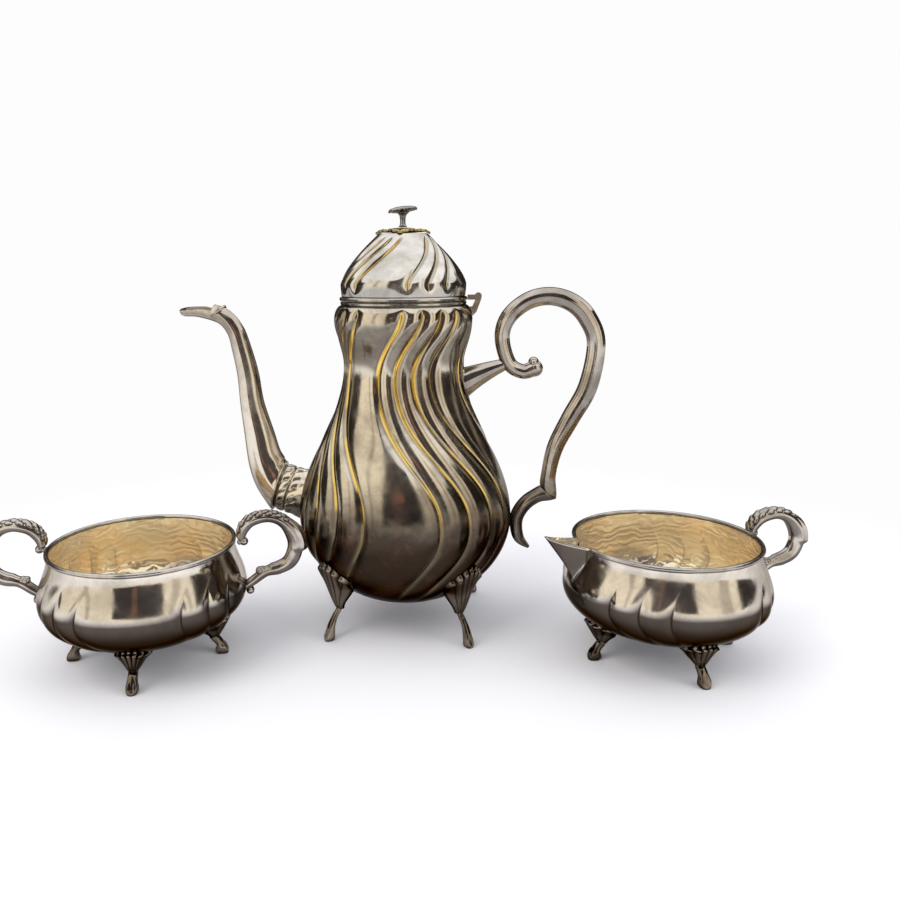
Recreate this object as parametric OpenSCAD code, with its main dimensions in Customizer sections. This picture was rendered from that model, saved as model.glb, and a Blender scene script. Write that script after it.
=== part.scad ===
// Silver coffee service: a coffee pot with a hinged lid, a two-handled sugar bowl
// and a creamer. All three have spiral flutes, cast scroll handles and shell feet.
// X runs from the pot's spout to its handle, -Y is the front, Z = 0 is the table.

/* [Sheet and fits] */
// Thickness of the raised silver sheet
sheet = 1.0; // [0.8:0.1:1.4]
// Gap left for solder between a fitting and the vessel that carries it
seat_gap = 0.2; // [0.1:0.05:0.4]
// Gap between the closed lid and the mouth
lid_gap = 0.25; // [0.2:0.05:0.5]

/* [Coffee pot body] */
// Height of the underside of the belly above the table
pot_base_z = 14; // [11:0.5:18]
// Radius of the belly at its widest
belly_r = 64; // [60:0.5:68]
// Height of the widest place of the belly
belly_z = 66; // [62:1:72]
// Radius of the waist under the neck
waist_r = 35.9; // [33:0.1:38]
// Height of the waist
waist_z = 157; // [150:1:162]
// Radius of the lobed neck roll
neck_r = 41.1; // [39.5:0.1:43]
// Height from the lobed neck roll up to the body's upper edge
neck_z = 8.3; // [6:0.1:10]
// Radius of the body's upper edge
mouth_r = 36.4; // [36:0.1:37.5]
// Height of the body's upper edge
mouth_z = 192.3; // [190:0.5:196]
// Height of the moulded wire on the mouth
mouth_wire_h = 2.2; // [1.6:0.1:3]

/* [Flutes] */
// Number of times that the flute pattern repeats around a vessel
flute_groups = 4; // [3:1:5]
// Width of a narrow flute on the pot, in degrees
narrow_flute = 16.7; // [14:0.1:18]
// Depth of the creases between the pot's flutes
flute_depth = 1.7; // [1:0.1:2.4]
// Sideways sweep of the flutes under the belly, in degrees
foot_sweep = 26.5; // [15:0.5:30]
// Sideways sweep of the flutes from belly to waist, in degrees
flute_sweep = 43.5; // [30:0.5:50]
// Sweep of the flutes back from waist to neck, in degrees
neck_sweep = 24; // [15:0.5:30]
// Width of a narrow flute on the lid, in degrees
lid_flute = 19; // [16:0.5:21]
// Width of a narrow flute on the bowls, in degrees
bowl_flute = 16.5; // [14:0.5:19]
// Depth of the creases between the bowls' flutes
bowl_flute_depth = 0.9; // [0.5:0.1:1.4]

/* [Lid] */
// Radius of the lid at its widest
lid_r = 37.3; // [36.8:0.1:39]
// Height of the lid's roll above its flange
lid_roll_h = 7.4; // [6:0.2:9]
// Radius of the lid's crown under the leaf
crown_r = 14.6; // [12:0.2:17]
// Height of the crown above the flange
crown_h = 36.4; // [33:0.2:40]
// Height of the lid's flange
flange_h = 2.3; // [1.8:0.1:3]
// Depth of the collar that enters the mouth
bezel_h = 5.5; // [4:0.5:6.5]

/* [Finial] */
// Radius of the flower head
flower_r = 8.8; // [7:0.2:10]
// Height of the flower head
flower_h = 4.5; // [3.5:0.1:6]
// Radius of the stem at its thinnest
stem_r = 1.4; // [1.2:0.1:2]
// Length of the bare stem
stem_h = 8; // [6:0.2:9]
// Mean radius of the leaf under the stem
leaf_r = 15; // [13:0.2:17]
// Height of the leaf's raised middle
leaf_boss_h = 1.2; // [0.6:0.1:2]
// Droop of the leaf's four lobes
leaf_droop = 1.4; // [0.8:0.1:2]

/* [Hinge] */
// Distance of the hinge pin from the pot's axis
hinge_x = 44; // [43.5:0.1:46]
// Radius of the hinge pin
pin_r = 0.9; // [0.8:0.05:1.1]
// Outer radius of the knuckles
knuckle_r = 2.1; // [1.9:0.1:2.3]
// Length of the lid's knuckle
lug_w = 4; // [3:0.2:5]
// Length of each of the two knuckles beside it
ear_w = 2.4; // [2:0.2:3]
// Running clearance of the pin in the lid's knuckle
pin_clear = 0.05; // [0.03:0.01:0.08]
// Side play between neighbouring knuckles
knuckle_gap = 0.25; // [0.2:0.05:0.4]
// Thickness of the strut that carries the knuckles
strut_t = 2; // [1.6:0.1:2.6]

/* [Spout] */
// Height of the spout's root on the belly
spout_z = 73.5; // [70:0.5:78]
// Distance of the spout's tip from the pot's axis
spout_reach = 137; // [130:0.5:145]
// Height of the tip
spout_tip_z = 189.4; // [183:0.1:195]
// Half height of the spout where it meets its collar
spout_root_h = 15.6; // [14:0.1:17]
// Length of the ringed collar at the root
collar_l = 14.5; // [12:0.5:16]
// Growth of the collar's radius towards the belly
collar_flare = 2.6; // [1.5:0.1:3.5]

/* [Pot handle] */
// Distance of the handle's back from the pot's axis
handle_reach = 117.6; // [113:0.1:122]
// Height of the top of the handle
handle_top_z = 202.4; // [198:0.1:207]
// Height of the mitred joint under the handle
handle_low_z = 80.5; // [78:0.1:84]
// Half thickness of the handle's tube, measured across the pot
handle_t = 5; // [4.4:0.1:5.6]

/* [Pot feet] */
// Distance of the toes from the pot's axis
pot_toe_r = 56.5; // [54:0.5:60]
// Height of the ankle
pot_ankle_z = 21; // [19:0.5:24]
// Height of the top of the shell
pot_shell_z = 48; // [44:0.5:52]
// Half width of the shell
pot_shell_w = 13; // [10:0.5:15]
// Radius of the ankle
pot_leg_t = 1.5; // [1.2:0.1:2]

/* [Bowls] */
// Radius of the rim
rim_r = 49.4; // [47:0.2:52]
// Height of the middle of the rim's wire
rim_z = 65.3; // [62:0.1:68]
// Radius of the rim's wire
rim_wire_r = 1.25; // [1:0.05:1.6]
// Radius of a bowl at its widest
bowl_r = 55.6; // [53:0.2:58]
// Height of the widest place of a bowl
bowl_z = 40; // [38:0.5:43]
// Height of a bowl's underside above the table
bowl_base_z = 14.5; // [13:0.5:17]
// Distance of a bowl handle's back from the bowl's axis
ear_reach = 90; // [86:0.5:94]
// Height of the top of a bowl handle
ear_top_z = 81; // [77:0.5:84]
// Half thickness of a bowl handle, measured along the rim
ear_t = 3.6; // [3:0.1:4.2]
// Distance of the toes from a bowl's axis
bowl_toe_r = 40.5; // [38:0.5:43]
// Height of the ankle of a bowl's foot
bowl_ankle_z = 9.5; // [8:0.5:11]
// Height of the top of a bowl's shell
bowl_shell_z = 24; // [22:0.5:27]
// Half width of a bowl's shell
bowl_shell_w = 9.8; // [8:0.2:12]
// Radius of a bowl foot's ankle
bowl_leg_t = 2.1; // [1.7:0.1:2.5]

/* [Creamer] */
// Distance of the creamer handle's back from its axis
creamer_ear_reach = 90; // [86:0.5:94]
// Height of the top of the creamer's handle
creamer_ear_top_z = 77.5; // [74:0.5:81]
// Distance of the lip's tip from the creamer's axis
lip_reach = 71.2; // [67:0.2:75]
// Height of the tip above the middle of the rim's wire
lip_rise = 5.7; // [3:0.1:8]
// Half width of the lip where it meets the rim
lip_w = 9.6; // [8:0.2:11]
// Height of the lip's foot on the bowl
lip_foot_z = 45; // [42:0.5:49]

/* [Places on the table] */
// Sugar bowl's axis from the pot's axis, along X
sugar_x = -137; // [-150:0.5:-135]
// Sugar bowl's axis from the pot's axis, along Y
sugar_y = -69.5; // [-85:0.5:-66]
// Turn of the sugar bowl's handles from X
sugar_yaw = 12.2; // [5:0.1:20]
// Creamer's axis from the pot's axis, along X
creamer_x = 147.5; // [140:0.5:165]
// Creamer's axis from the pot's axis, along Y
creamer_y = -34; // [-60:0.5:-30]
// Turn of the creamer's handle from X
creamer_yaw = 19.2; // [10:0.1:28]

/* [Hidden] */

round_fn = 64;
small_fn = 32;
over = 1;

silver = [0.72, 0.70, 0.67];
bright = [0.80, 0.78, 0.75];
cast = [0.60, 0.57, 0.53];
gilt = [0.78, 0.64, 0.38];

// The box around the whole service stands on the origin
set_x = -(sugar_x - ear_reach * cos(sugar_yaw)
        + creamer_x + creamer_ear_reach * cos(creamer_yaw)) / 2;
set_y = -(sugar_y - bowl_r + belly_r) / 2;

// Heights that stack up from the mouth
neck_at = mouth_z - neck_z;
seat_z = mouth_z + mouth_wire_h;
flange_z = seat_z + lid_gap;
dome_z = flange_z + flange_h;
crown_z = dome_z + crown_h;
leaf_z = crown_z + sheet + seat_gap;
hinge_z = flange_z + flange_h;
bezel_z = seat_z - bezel_h;

// Radii that the mouth, the flange and the rims share
mouth_in_r = mouth_r - 1.4;
bezel_gap = 0.5;
flange_r = mouth_r + 1.3;
wire_in_r = rim_r - 0.3;
pin_seat = 0.02;
fan_t = 2;
pad_h = 3;

// Root of the spout, where its collar ends. The collar runs on into the belly
// by collar_in and is trimmed there.
spout_root_x = belly_r + collar_l;
spout_root_z = spout_z + collar_l / 2;
collar_in = 9;
strainer_r = 1.4;
strainer_pitch = 6;

// Ends of the handles
handle_in_x = 57;
handle_tube = 1.05 * handle_t;
lean_x = belly_r + 0.85 * handle_t;
lean_z = belly_z + 0.3;
ear_low_z = 38;

// Threaded stud of the finial and its nut inside the lid
stud_r = 1.5;
stud_hole_r = stud_r + 0.3;
nut_r = 4;
nut_h = 2.4;
leaf_t = 1.4;

// ---------------------------------------------------------------- curves

// Smooth step from 0 at a to 1 at b
function ease(t) = (1 - cos(180 * min(max(t, 0), 1))) / 2;
function ramp(a, b, v) = ease((v - a) / (b - a));
function mix(a, b, t) = a + (b - a) * t;

function catmull(a, b, c, d, t) =
    (2 * b + (c - a) * t + (2 * a - 5 * b + 4 * c - d) * t * t
    + (3 * b - a - 3 * c + d) * t * t * t) / 2;

// Curve through the rows of p, with n steps between neighbours
function spline(p, n) = concat(
    [for (i = [0 : len(p) - 2], k = [0 : n - 1])
        catmull(p[max(i - 1, 0)], p[i], p[i + 1], p[min(i + 2, len(p) - 1)], k / n)],
    [p[len(p) - 1]]);

function unit(v) = v / norm(v);

// ---------------------------------------------------------------- skins

// Solid through rings of points. loop closes the last ring on the first,
// otherwise each end is closed by a strip across the ring.
module skin(rings, loop = false) {
    n = len(rings);
    k = len(rings[0]);
    half = ceil(k / 2);
    sides = [for (i = [0 : loop ? n - 1 : n - 2], j = [0 : k - 1])
        let (a = i * k + j, b = i * k + (j + 1) % k,
             c = ((i + 1) % n) * k + (j + 1) % k, d = ((i + 1) % n) * k + j)
        each [[a, c, b], [a, d, c]]];
    ends = loop ? [] : [for (j = [0 : half - 2], last = [0, n - 1])
        let (a = j, b = j + 1, c = k - 2 - j, d = k - 1 - j, o = last * k)
        each (last == 0
            ? [if (b != c) [o + a, o + b, o + c], [o + a, o + c, o + d]]
            : [if (b != c) [o + a, o + c, o + b], [o + a, o + d, o + c]])];
    polyhedron([for (r = rings) each r], concat(sides, ends), convexity = 8);
}

// Rings of a tube whose middle line lies in the XZ plane. Each row of path
// is [x, z, half depth in the plane, half width along Y]. dir0 and dir1 turn
// the end rings, as a mitred joint needs.
function tube_rings(path, k, dir0 = undef, dir1 = undef, shrink = 0, swing = 1) =
    [for (i = [0 : len(path) - 1])
        let (p = path[i],
             a = path[max(i - 1, 0)], b = path[min(i + 1, len(path) - 1)],
             own = unit([b[0] - a[0], b[1] - a[1]]),
             t = i < swing && dir0 != undef ? unit(mix(dir0, own, i / swing))
                : i == len(path) - 1 && dir1 != undef ? unit(dir1) : own)
        [for (j = [0 : k - 1])
            let (w = 360 * (j + 0.5) / k, u = (p[2] - shrink) * cos(w))
            [p[0] - t[1] * u, (shrink - p[3]) * sin(w), p[1] + t[0] * u]]];

function mirrored(rings) = [for (r = rings) [for (j = [len(r) - 1 : -1 : 0])
    [-r[j][0], r[j][1], r[j][2]]]];

function reversed(list) = [for (i = [len(list) - 1 : -1 : 0]) list[i]];

// ---------------------------------------------------------------- flutes

function arch(u, p) = 1 - pow(abs(2 * u - 1), p);

// Pattern of a vessel: rows of [angle, height 0 to 1], for n narrow flutes
// and one wide plain panel in each group
function flute_pattern(start, narrow, n, cuts, wide_cuts) =
    let (pitch = 360 / flute_groups, wide = pitch - n * narrow)
    [for (g = [0 : flute_groups - 1]) each concat(
        [for (m = [0 : n - 1], s = [0 : cuts - 1])
            [start + g * pitch + narrow * (m + s / cuts), arch(s / cuts, 2)]],
        [for (s = [0 : wide_cuts - 1])
            [start + g * pitch + narrow * n + wide * s / wide_cuts,
             arch(s / wide_cuts, 4)]])];

function fluted_ring(r, z, turn, depth, pattern) =
    [for (f = pattern) let (q = r - depth * (1 - f[1]))
        [q * cos(f[0] + turn), q * sin(f[0] + turn), z]];

// Rings of a fluted skin from rows of [r, z]. turn and depth are functions of
// the outside height, and inset moves the skin inwards by the sheet.
function fluted_rings(profile, turn, depth, pattern, inset = 0) =
    [for (i = [0 : len(profile) - 1])
        let (p = profile[i],
             a = profile[max(i - 1, 0)], b = profile[min(i + 1, len(profile) - 1)],
             t = unit(b - a))
        fluted_ring(p[0] - inset * t[1], p[1] + inset * t[0],
            turn(p[1]), depth(p[1]), pattern)];

function every_other(list) = [for (i = [0 : len(list) - 1])
    if (i % 2 == 0 || i == len(list) - 1) list[i]];

function ring_of(r, z, turn, pattern) =
    [for (f = pattern) [r * cos(f[0] + turn), r * sin(f[0] + turn), z]];

// The same path, longer at the start and one ring shorter at the end
function hollow_line(path) =
    let (a = path[0] - path[1], d = 2 * a / norm([a[0], a[1]]))
    concat([path[0] + [d[0], d[1], 0, 0]], [for (i = [1 : len(path) - 2]) path[i]]);

// Upright sheet edges, so that rims and flanges seat on a flat ring
function flat_edge(rings, z) = [for (r = rings) [for (p = r) [p[0], p[1], z]]];

// ---------------------------------------------------------------- profiles

// Radius of the pot's body at a height
function pot_radius(z) =
    z < belly_z ? belly_r * sqrt(max(0, 1 - pow((belly_z - z) / (belly_z - pot_base_z), 2)))
    : z < waist_z ? mix(belly_r, waist_r, ramp(belly_z, waist_z, z))
    : z < neck_at ? mix(waist_r, neck_r, ramp(waist_z, neck_at, z))
    : mouth_r + (neck_r - mouth_r)
        * sqrt(max(0, 1 - pow((z - neck_at) / (mouth_z - neck_at), 2)));

pot_profile = concat(
    [for (a = [10, 32, 52, 70])
        [belly_r * sin(a), belly_z - (belly_z - pot_base_z) * cos(a)]],
    [for (i = [0 : 7]) let (z = mix(belly_z, waist_z, i / 8)) [pot_radius(z), z]],
    [for (i = [0 : 2]) let (z = mix(waist_z, neck_at, i / 3)) [pot_radius(z), z]],
    [for (a = [0, 45]) let (z = neck_at + (mouth_z - neck_at) * sin(a))
        [pot_radius(z), z]],
    [[mouth_r, mouth_z]]);

// The creases sweep in under the belly, back from it to the waist and forward
// again on the neck
function pot_turn(z) = -foot_sweep * (1 - ramp(pot_base_z, belly_z + 6, z))
    - flute_sweep * ramp(belly_z + 10, waist_z - 5, z)
    + neck_sweep * ramp(waist_z - 5, neck_at + 6, z);

function pot_flute(z) = flute_depth * ramp(pot_base_z + 3, pot_base_z + 28, z)
    * (1 - ramp(neck_at + 3, mouth_z, z));

pot_pattern = flute_pattern(-65.3, narrow_flute, 3, 3, 5);

function lid_radius(z) =
    let (h = z - dome_z)
    h < lid_roll_h ? mix(mouth_r - 0.2, lid_r, sin(90 * h / lid_roll_h))
    : mix(lid_r, crown_r, ramp(lid_roll_h, crown_h, h));

lid_profile = concat(
    [for (h = [0 : lid_roll_h / 2 : lid_roll_h]) [lid_radius(dome_z + h), dome_z + h]],
    [for (i = [1 : 6]) let (h = mix(lid_roll_h, crown_h, i / 6))
        [lid_radius(dome_z + h), dome_z + h]],
    [[stud_hole_r, crown_z + sheet]]);

function lid_turn(z) = 52 * pow(max(0, (z - dome_z - lid_roll_h) / (crown_h - lid_roll_h)), 1.3);

function lid_depth(z) = flute_depth * ramp(dome_z + 1, dome_z + lid_roll_h, z)
    * (1 - ramp(crown_z - 6, crown_z, z));

lid_pattern = flute_pattern(-80, lid_flute, 2, 3, 5);

// Radius of a bowl at a height
bowl_edge_z = rim_z - rim_wire_r * 0.7;
bowl_edge_r = rim_r;

function bowl_radius(z) =
    z < bowl_z
    ? bowl_r * pow(max(0, 1 - pow((bowl_z - z) / (bowl_z - bowl_base_z), 2.2)), 1 / 2.2)
    : mix(bowl_r, bowl_edge_r, ramp(bowl_z, bowl_edge_z, z));

bowl_profile = concat(
    [for (a = [14, 34, 52, 68])
        let (z = bowl_z - (bowl_z - bowl_base_z) * pow(cos(a), 2 / 2.2))
        [bowl_radius(z), z]],
    [for (i = [0 : 5]) let (z = mix(bowl_z, bowl_edge_z, i / 5)) [bowl_radius(z), z]]);

function bowl_turn(z) = pow(z - bowl_z, 2) * (z > bowl_z ? 0.02 : 0.034);

function bowl_flute_at(z) = bowl_flute_depth * ramp(bowl_base_z + 2, bowl_base_z + 12, z)
    * (1 - ramp(bowl_edge_z - 16, bowl_edge_z - 7, z));

bowl_pattern = flute_pattern(-60, bowl_flute, 2, 3, 5);

// ---------------------------------------------------------------- pot body

module at_pot() {
    translate([set_x, set_y, 0]) children();
}

// Outside of the pot's body as one closed solid, grown by a gap
module pot_form(gap) {
    skin(fluted_rings(pot_profile, function(z) pot_turn(z),
        function(z) pot_flute(z), pot_pattern, -gap));
}

module strainer() {
    for (a = [0 : 60 : 300])
        translate([-belly_r - 3, strainer_pitch * cos(a), spout_z + strainer_pitch * sin(a)])
            rotate([0, 90, 0]) cylinder(r = strainer_r, h = 12, $fn = 8);
}

module pot_body() {
    outer = fluted_rings(pot_profile, function(z) pot_turn(z),
        function(z) pot_flute(z), pot_pattern);
    inner = fluted_rings(pot_profile, function(z) pot_turn(z),
        function(z) pot_flute(z), pot_pattern, sheet);
    n = len(outer);
    color(silver) at_pot() difference() {
        skin(concat(
            outer,
            flat_edge([inner[n - 1]], mouth_z),
            reversed([for (i = [0 : n - 2]) inner[i]])));
        strainer();
    }
}

module mouth_wire() {
    color(bright) at_pot() translate([0, 0, mouth_z]) rotate_extrude($fn = round_fn)
        polygon([
            [mouth_in_r, 0], [mouth_r + 0.3, 0],
            [mouth_r + 0.8, mouth_wire_h * 0.3], [mouth_r + 0.8, mouth_wire_h * 0.7],
            [mouth_r + 0.3, mouth_wire_h], [mouth_in_r, mouth_wire_h]]);
}

// ---------------------------------------------------------------- spout

// Rows of [share of the reach, share of the height, half depth, half width],
// the last two as shares of the half height at the root
spout_line = [for (p = spline([
        [0, 0, 1, 0.86], [0.08, 0.066, 0.84, 0.79], [0.147, 0.165, 0.69, 0.68],
        [0.197, 0.295, 0.6, 0.59], [0.264, 0.47, 0.48, 0.49], [0.3, 0.637, 0.43, 0.44],
        [0.357, 0.775, 0.39, 0.39], [0.422, 0.886, 0.35, 0.35], [0.55, 0.965, 0.335, 0.33],
        [0.79, 1.002, 0.3, 0.3], [1, 0.989, 0.16, 0.16]], 2))
    [mix(spout_root_x, spout_reach, p[0]), mix(spout_root_z, spout_tip_z, p[1]),
     spout_root_h * p[2], spout_root_h * p[3]]];

spout_dir = unit([2, 0.6]);

// Radius of the round cut that opens the top of the beak, and its depth there
beak_cut_r = 20;
beak_cut_z = spout_tip_z + 1.9;

// The part of the spout beyond its collar
module spout() {
    color(silver) at_pot() mirror([1, 0, 0]) difference() {
        skin(tube_rings(spout_line, 10, dir0 = spout_dir, swing = 4));
        skin(tube_rings(hollow_line(spout_line), 10, dir0 = spout_dir, shrink = sheet,
            swing = 4));
        translate([mix(spout_root_x, spout_reach, 0.77), 0, beak_cut_z + beak_cut_r])
            rotate([90, 0, 0]) cylinder(r = beak_cut_r, h = spout_root_h, center = true,
                $fn = small_fn);
    }
}

// Point and half sizes of the collar at a distance q inwards from the spout
function collar_at(q, rise) =
    [spout_root_x - spout_dir[0] * q, spout_root_z - spout_dir[1] * q,
     spout_line[0][2] + collar_flare * q / collar_l + rise,
     spout_line[0][3] + collar_flare * q / collar_l + rise];

// Ringed collar that seats on the belly and carries the spout
module spout_collar() {
    color(cast) at_pot() difference() {
        mirror([1, 0, 0]) skin(tube_rings(concat(
            [collar_at(collar_l + collar_in, 0.3)],
            [for (p = [[0.86, 0.3], [0.8, 1.1], [0.63, 1.1], [0.58, 0.1], [0.52, 0.9],
                    [0.33, 0.9], [0.28, 0], [0.22, 0.8], [0.08, 0.8]])
                collar_at(collar_l * p[0], p[1])],
            [collar_at(seat_gap, 0.2)]),
            14, dir0 = spout_dir, dir1 = spout_dir));
        mirror([1, 0, 0]) skin(tube_rings([for (q = [collar_l + collar_in + over, -over])
            collar_at(q, 0)],
            12, dir0 = spout_dir, dir1 = spout_dir, shrink = sheet));
        pot_form(seat_gap);
    }
}

// ---------------------------------------------------------------- pot handle

function handle_at(p) = [mix(handle_in_x, handle_reach - handle_t, p[0]),
    mix(handle_low_z, handle_top_z - handle_t, p[1]), handle_t * p[2], handle_t * p[3]];

// Rows of [share of the reach, share of the height, half depth, half width],
// the last two as shares of the tube's half thickness
handle_line = [for (p = spline([
        [0.358, 0.636, 0.95, 0.95], [0.236, 0.619, 0.9, 1], [0.095, 0.661, 0.9, 1],
        [0.02, 0.789, 0.92, 1], [0.086, 0.893, 1, 1], [0.284, 0.972, 1.06, 1],
        [0.513, 0.995, 1.1, 1], [0.736, 0.963, 1.12, 1], [0.896, 0.887, 1.14, 1.02],
        [0.991, 0.76, 1.1, 1.02], [0.917, 0.547, 1.16, 1.04], [0.741, 0.382, 1.12, 1],
        [0.59, 0.234, 1, 0.96], [0.523, 0.088, 0.92, 0.92], [0.527, 0, 1.22, 1.1]], 2))
    handle_at(p)];

mitre_dir = [-0.62, -0.78];

module handle_form(gap) {
    skin(tube_rings(handle_line, 8, dir1 = mitre_dir, shrink = -gap));
}

module pot_handle() {
    eye = handle_line[0];
    color(silver) at_pot() union() {
        handle_form(0);
        translate([eye[0], 0, eye[1]]) rotate([90, 0, 0])
            cylinder(r = handle_tube, h = 2 * eye[3], center = true, $fn = 14);
    }
}

// Flared stub between the waist and the handle's curl
module handle_upper_socket() {
    a = [waist_r - handle_t, waist_z - 2.6 * handle_t];
    b = [handle_in_x + handle_t / 2, waist_z];
    color(cast) at_pot() difference() {
        skin(tube_rings(spline([for (p = [[0, 0, 2.1, 1.7], [0.36, 0.4, 1.5, 1.25],
                [0.68, 0.72, 1.08, 0.95], [1, 1, 0.72, 0.7]])
            [mix(a[0], b[0], p[0]), mix(a[1], b[1], p[1]), handle_t * p[2],
             handle_t * p[3]]], 2), 10));
        pot_form(seat_gap);
        handle_form(seat_gap);
    }
}

// Scroll under the mitred joint. It leans on the belly and curls out below.
module handle_lower_socket() {
    end = handle_line[len(handle_line) - 1];
    top = [end[0] + mitre_dir[0] * seat_gap, end[1] + mitre_dir[1] * seat_gap];
    // Rows of shares of the way from the mitre to where the scroll leans
    color(cast) at_pot() difference() {
        skin(tube_rings(spline([for (p = [[0, 0, 1.22, 1.1], [0.346, 0.127, 0.9, 0.95],
                [0.736, 0.486, 0.88, 0.86], [1, 1, 0.86, 0.76], [1.05, 1.5, 0.78, 0.68],
                [0.945, 2.05, 0.66, 0.56], [0.626, 2.44, 0.24, 0.32]])
            [mix(top[0], lean_x, p[0]), mix(top[1], lean_z, p[1]), handle_t * p[2],
             handle_t * p[3]]], 2), 8, dir0 = mitre_dir));
        pot_form(seat_gap);
    }
}

// ---------------------------------------------------------------- hinge

module knuckle(r, w) {
    rotate([90, 0, 0]) cylinder(r = r, h = w, center = true, $fn = small_fn);
}

// Smooth outline of the pot's neck, for fittings that stand on the flutes
module neck_form(gap) {
    rotate_extrude($fn = round_fn) polygon(concat([[0, waist_z]],
        [for (z = [waist_z : 3 : neck_at]) [pot_radius(z) + gap, z]],
        [for (a = [20, 40, 60]) let (z = neck_at + (mouth_z - neck_at) * sin(a))
            [pot_radius(z) + gap, z]],
        [[mouth_r + 0.8 + gap, mouth_z], [mouth_r + 0.8 + gap, seat_z], [0, seat_z]]));
}

module hinge_bracket() {
    w = lug_w + 2 * knuckle_gap + 2 * ear_w;
    color(cast) at_pot() difference() {
        union() {
            translate([hinge_x, 0, hinge_z]) knuckle(knuckle_r, w);
            rotate([90, 0, 0]) linear_extrude(w, center = true) polygon([
                [hinge_x - knuckle_r * 0.6, hinge_z - knuckle_r * 0.6],
                [hinge_x + knuckle_r, hinge_z],
                [hinge_x + knuckle_r * 0.8, hinge_z - knuckle_r],
                [neck_r + strut_t, neck_at + 2 * strut_t], [neck_r, neck_at + strut_t],
                [neck_r - strut_t, neck_at + strut_t],
                [neck_r - 1.4 * strut_t, neck_at + 3.4 * strut_t],
                [neck_r - 0.3 * strut_t, neck_at + 3.5 * strut_t]]);
        }
        neck_form(seat_gap);
        translate([hinge_x, 0, hinge_z]) {
            cube([4 * knuckle_r, lug_w + 2 * knuckle_gap, 2 * knuckle_r + 1], center = true);
            knuckle(pin_r + pin_seat, w + over);
        }
    }
}

module hinge_pin() {
    w = lug_w + 2 * knuckle_gap + 2 * ear_w;
    color(bright) at_pot() translate([hinge_x, 0, hinge_z]) union() {
        knuckle(pin_r, w + 0.4);
        for (side = [-1, 1])
            translate([0, side * (w / 2 + 0.4), 0]) knuckle(pin_r + 0.4, 0.6);
    }
}

module lid_hinge_lug() {
    color(cast) at_pot() difference() {
        union() {
            translate([hinge_x, 0, hinge_z]) knuckle(knuckle_r, lug_w);
            translate([lid_r - 1, -lug_w / 2, flange_z + 0.3])
                cube([hinge_x - lid_r + 1, lug_w, flange_h + 0.6]);
        }
        translate([hinge_x, 0, hinge_z]) knuckle(pin_r + pin_clear, lug_w + over);
        translate([0, 0, flange_z - over])
            cylinder(r = flange_r + seat_gap, h = flange_h + 4, $fn = round_fn);
    }
}

// ---------------------------------------------------------------- lid

module lid_dome() {
    outer = fluted_rings(lid_profile, function(z) lid_turn(z),
        function(z) lid_depth(z), lid_pattern);
    inner = fluted_rings(lid_profile, function(z) lid_turn(z),
        function(z) lid_depth(z), lid_pattern, sheet);
    n = len(outer);
    color(silver) at_pot() skin(concat(
        flat_edge([outer[0]], dome_z + seat_gap),
        [for (i = [1 : n - 2]) outer[i]],
        [ring_of(stud_hole_r, crown_z + sheet, lid_turn(crown_z), lid_pattern)],
        [ring_of(stud_hole_r, crown_z, lid_turn(crown_z), lid_pattern)],
        reversed([for (i = [1 : n - 2]) inner[i]]),
        flat_edge([inner[0]], dome_z + seat_gap)), loop = true);
}

module lid_flange() {
    color(bright) at_pot() translate([0, 0, flange_z]) rotate_extrude($fn = round_fn)
        polygon([
            [mouth_in_r, 0], [flange_r - 0.5, 0], [flange_r, flange_h * 0.3],
            [flange_r, flange_h * 0.7], [flange_r - 0.5, flange_h], [mouth_in_r, flange_h]]);
}

// Collar that enters the mouth and keeps the lid centred
module lid_bezel() {
    r = mouth_in_r - bezel_gap;
    color(gilt) at_pot() rotate_extrude($fn = round_fn) polygon([
        [r - sheet, bezel_z], [r - 0.4, bezel_z], [r, bezel_z + 1.5],
        [r, flange_z], [mouth_in_r - seat_gap, flange_z],
        [mouth_in_r - seat_gap, dome_z - 0.3], [r - sheet, dome_z - 0.3]]);
}

// Ring of the leaf at a share of its width: four lobes that droop at their tips
function leaf_ring(share, z) = [for (i = [0 : 31]) let (a = i * 360 / 32,
        r = share * leaf_r * (1 + 0.14 * cos(4 * a)),
        drop = leaf_droop * ramp(crown_r + 0.8, leaf_r * 1.14, r))
    [r * cos(a), r * sin(a), z - drop]];

// Leaf under the finial: lobed edge round a raised middle
module lid_leaf() {
    color(cast) at_pot() difference() {
        skin([for (p = [[0.06, 0], [0.98, 0], [1, leaf_t * 0.5], [0.98, leaf_t],
                [0.6, leaf_t], [0.34, leaf_t + leaf_boss_h], [0.06, leaf_t + leaf_boss_h]])
            leaf_ring(p[0], leaf_z + p[1])]);
        translate([0, 0, leaf_z - over])
            cylinder(r = stud_hole_r, h = leaf_t + leaf_boss_h + 2, $fn = small_fn);
    }
}

module finial() {
    z0 = leaf_z + leaf_t + leaf_boss_h + seat_gap;
    top = z0 + stem_h;
    color(cast) at_pot() union() {
        rotate_extrude($fn = 32) polygon([
            [0, z0], [stem_r * 2, z0], [stem_r * 1.7, z0 + 0.6], [stem_r, z0 + 1.4],
            [stem_r * 1.2, top - 2], [stem_r * 1.6, top], [flower_r * 0.7, top + flower_h * 0.14],
            [flower_r, top + flower_h * 0.36], [flower_r, top + flower_h * 0.6],
            [flower_r * 0.8, top + flower_h * 0.84], [flower_r * 0.35, top + flower_h],
            [0, top + flower_h]]);
        translate([0, 0, crown_z - nut_h - 1]) cylinder(r = stud_r,
            h = z0 - crown_z + nut_h + 1.5, $fn = small_fn);
    }
}

module finial_nut() {
    color(bright) at_pot() difference() {
        translate([0, 0, crown_z - nut_h - seat_gap]) cylinder(r = nut_r, h = nut_h, $fn = 6);
        translate([0, 0, crown_z - nut_h - over])
            cylinder(r = stud_r + pin_seat, h = nut_h + 2, $fn = small_fn);
    }
}

// ---------------------------------------------------------------- feet

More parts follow.
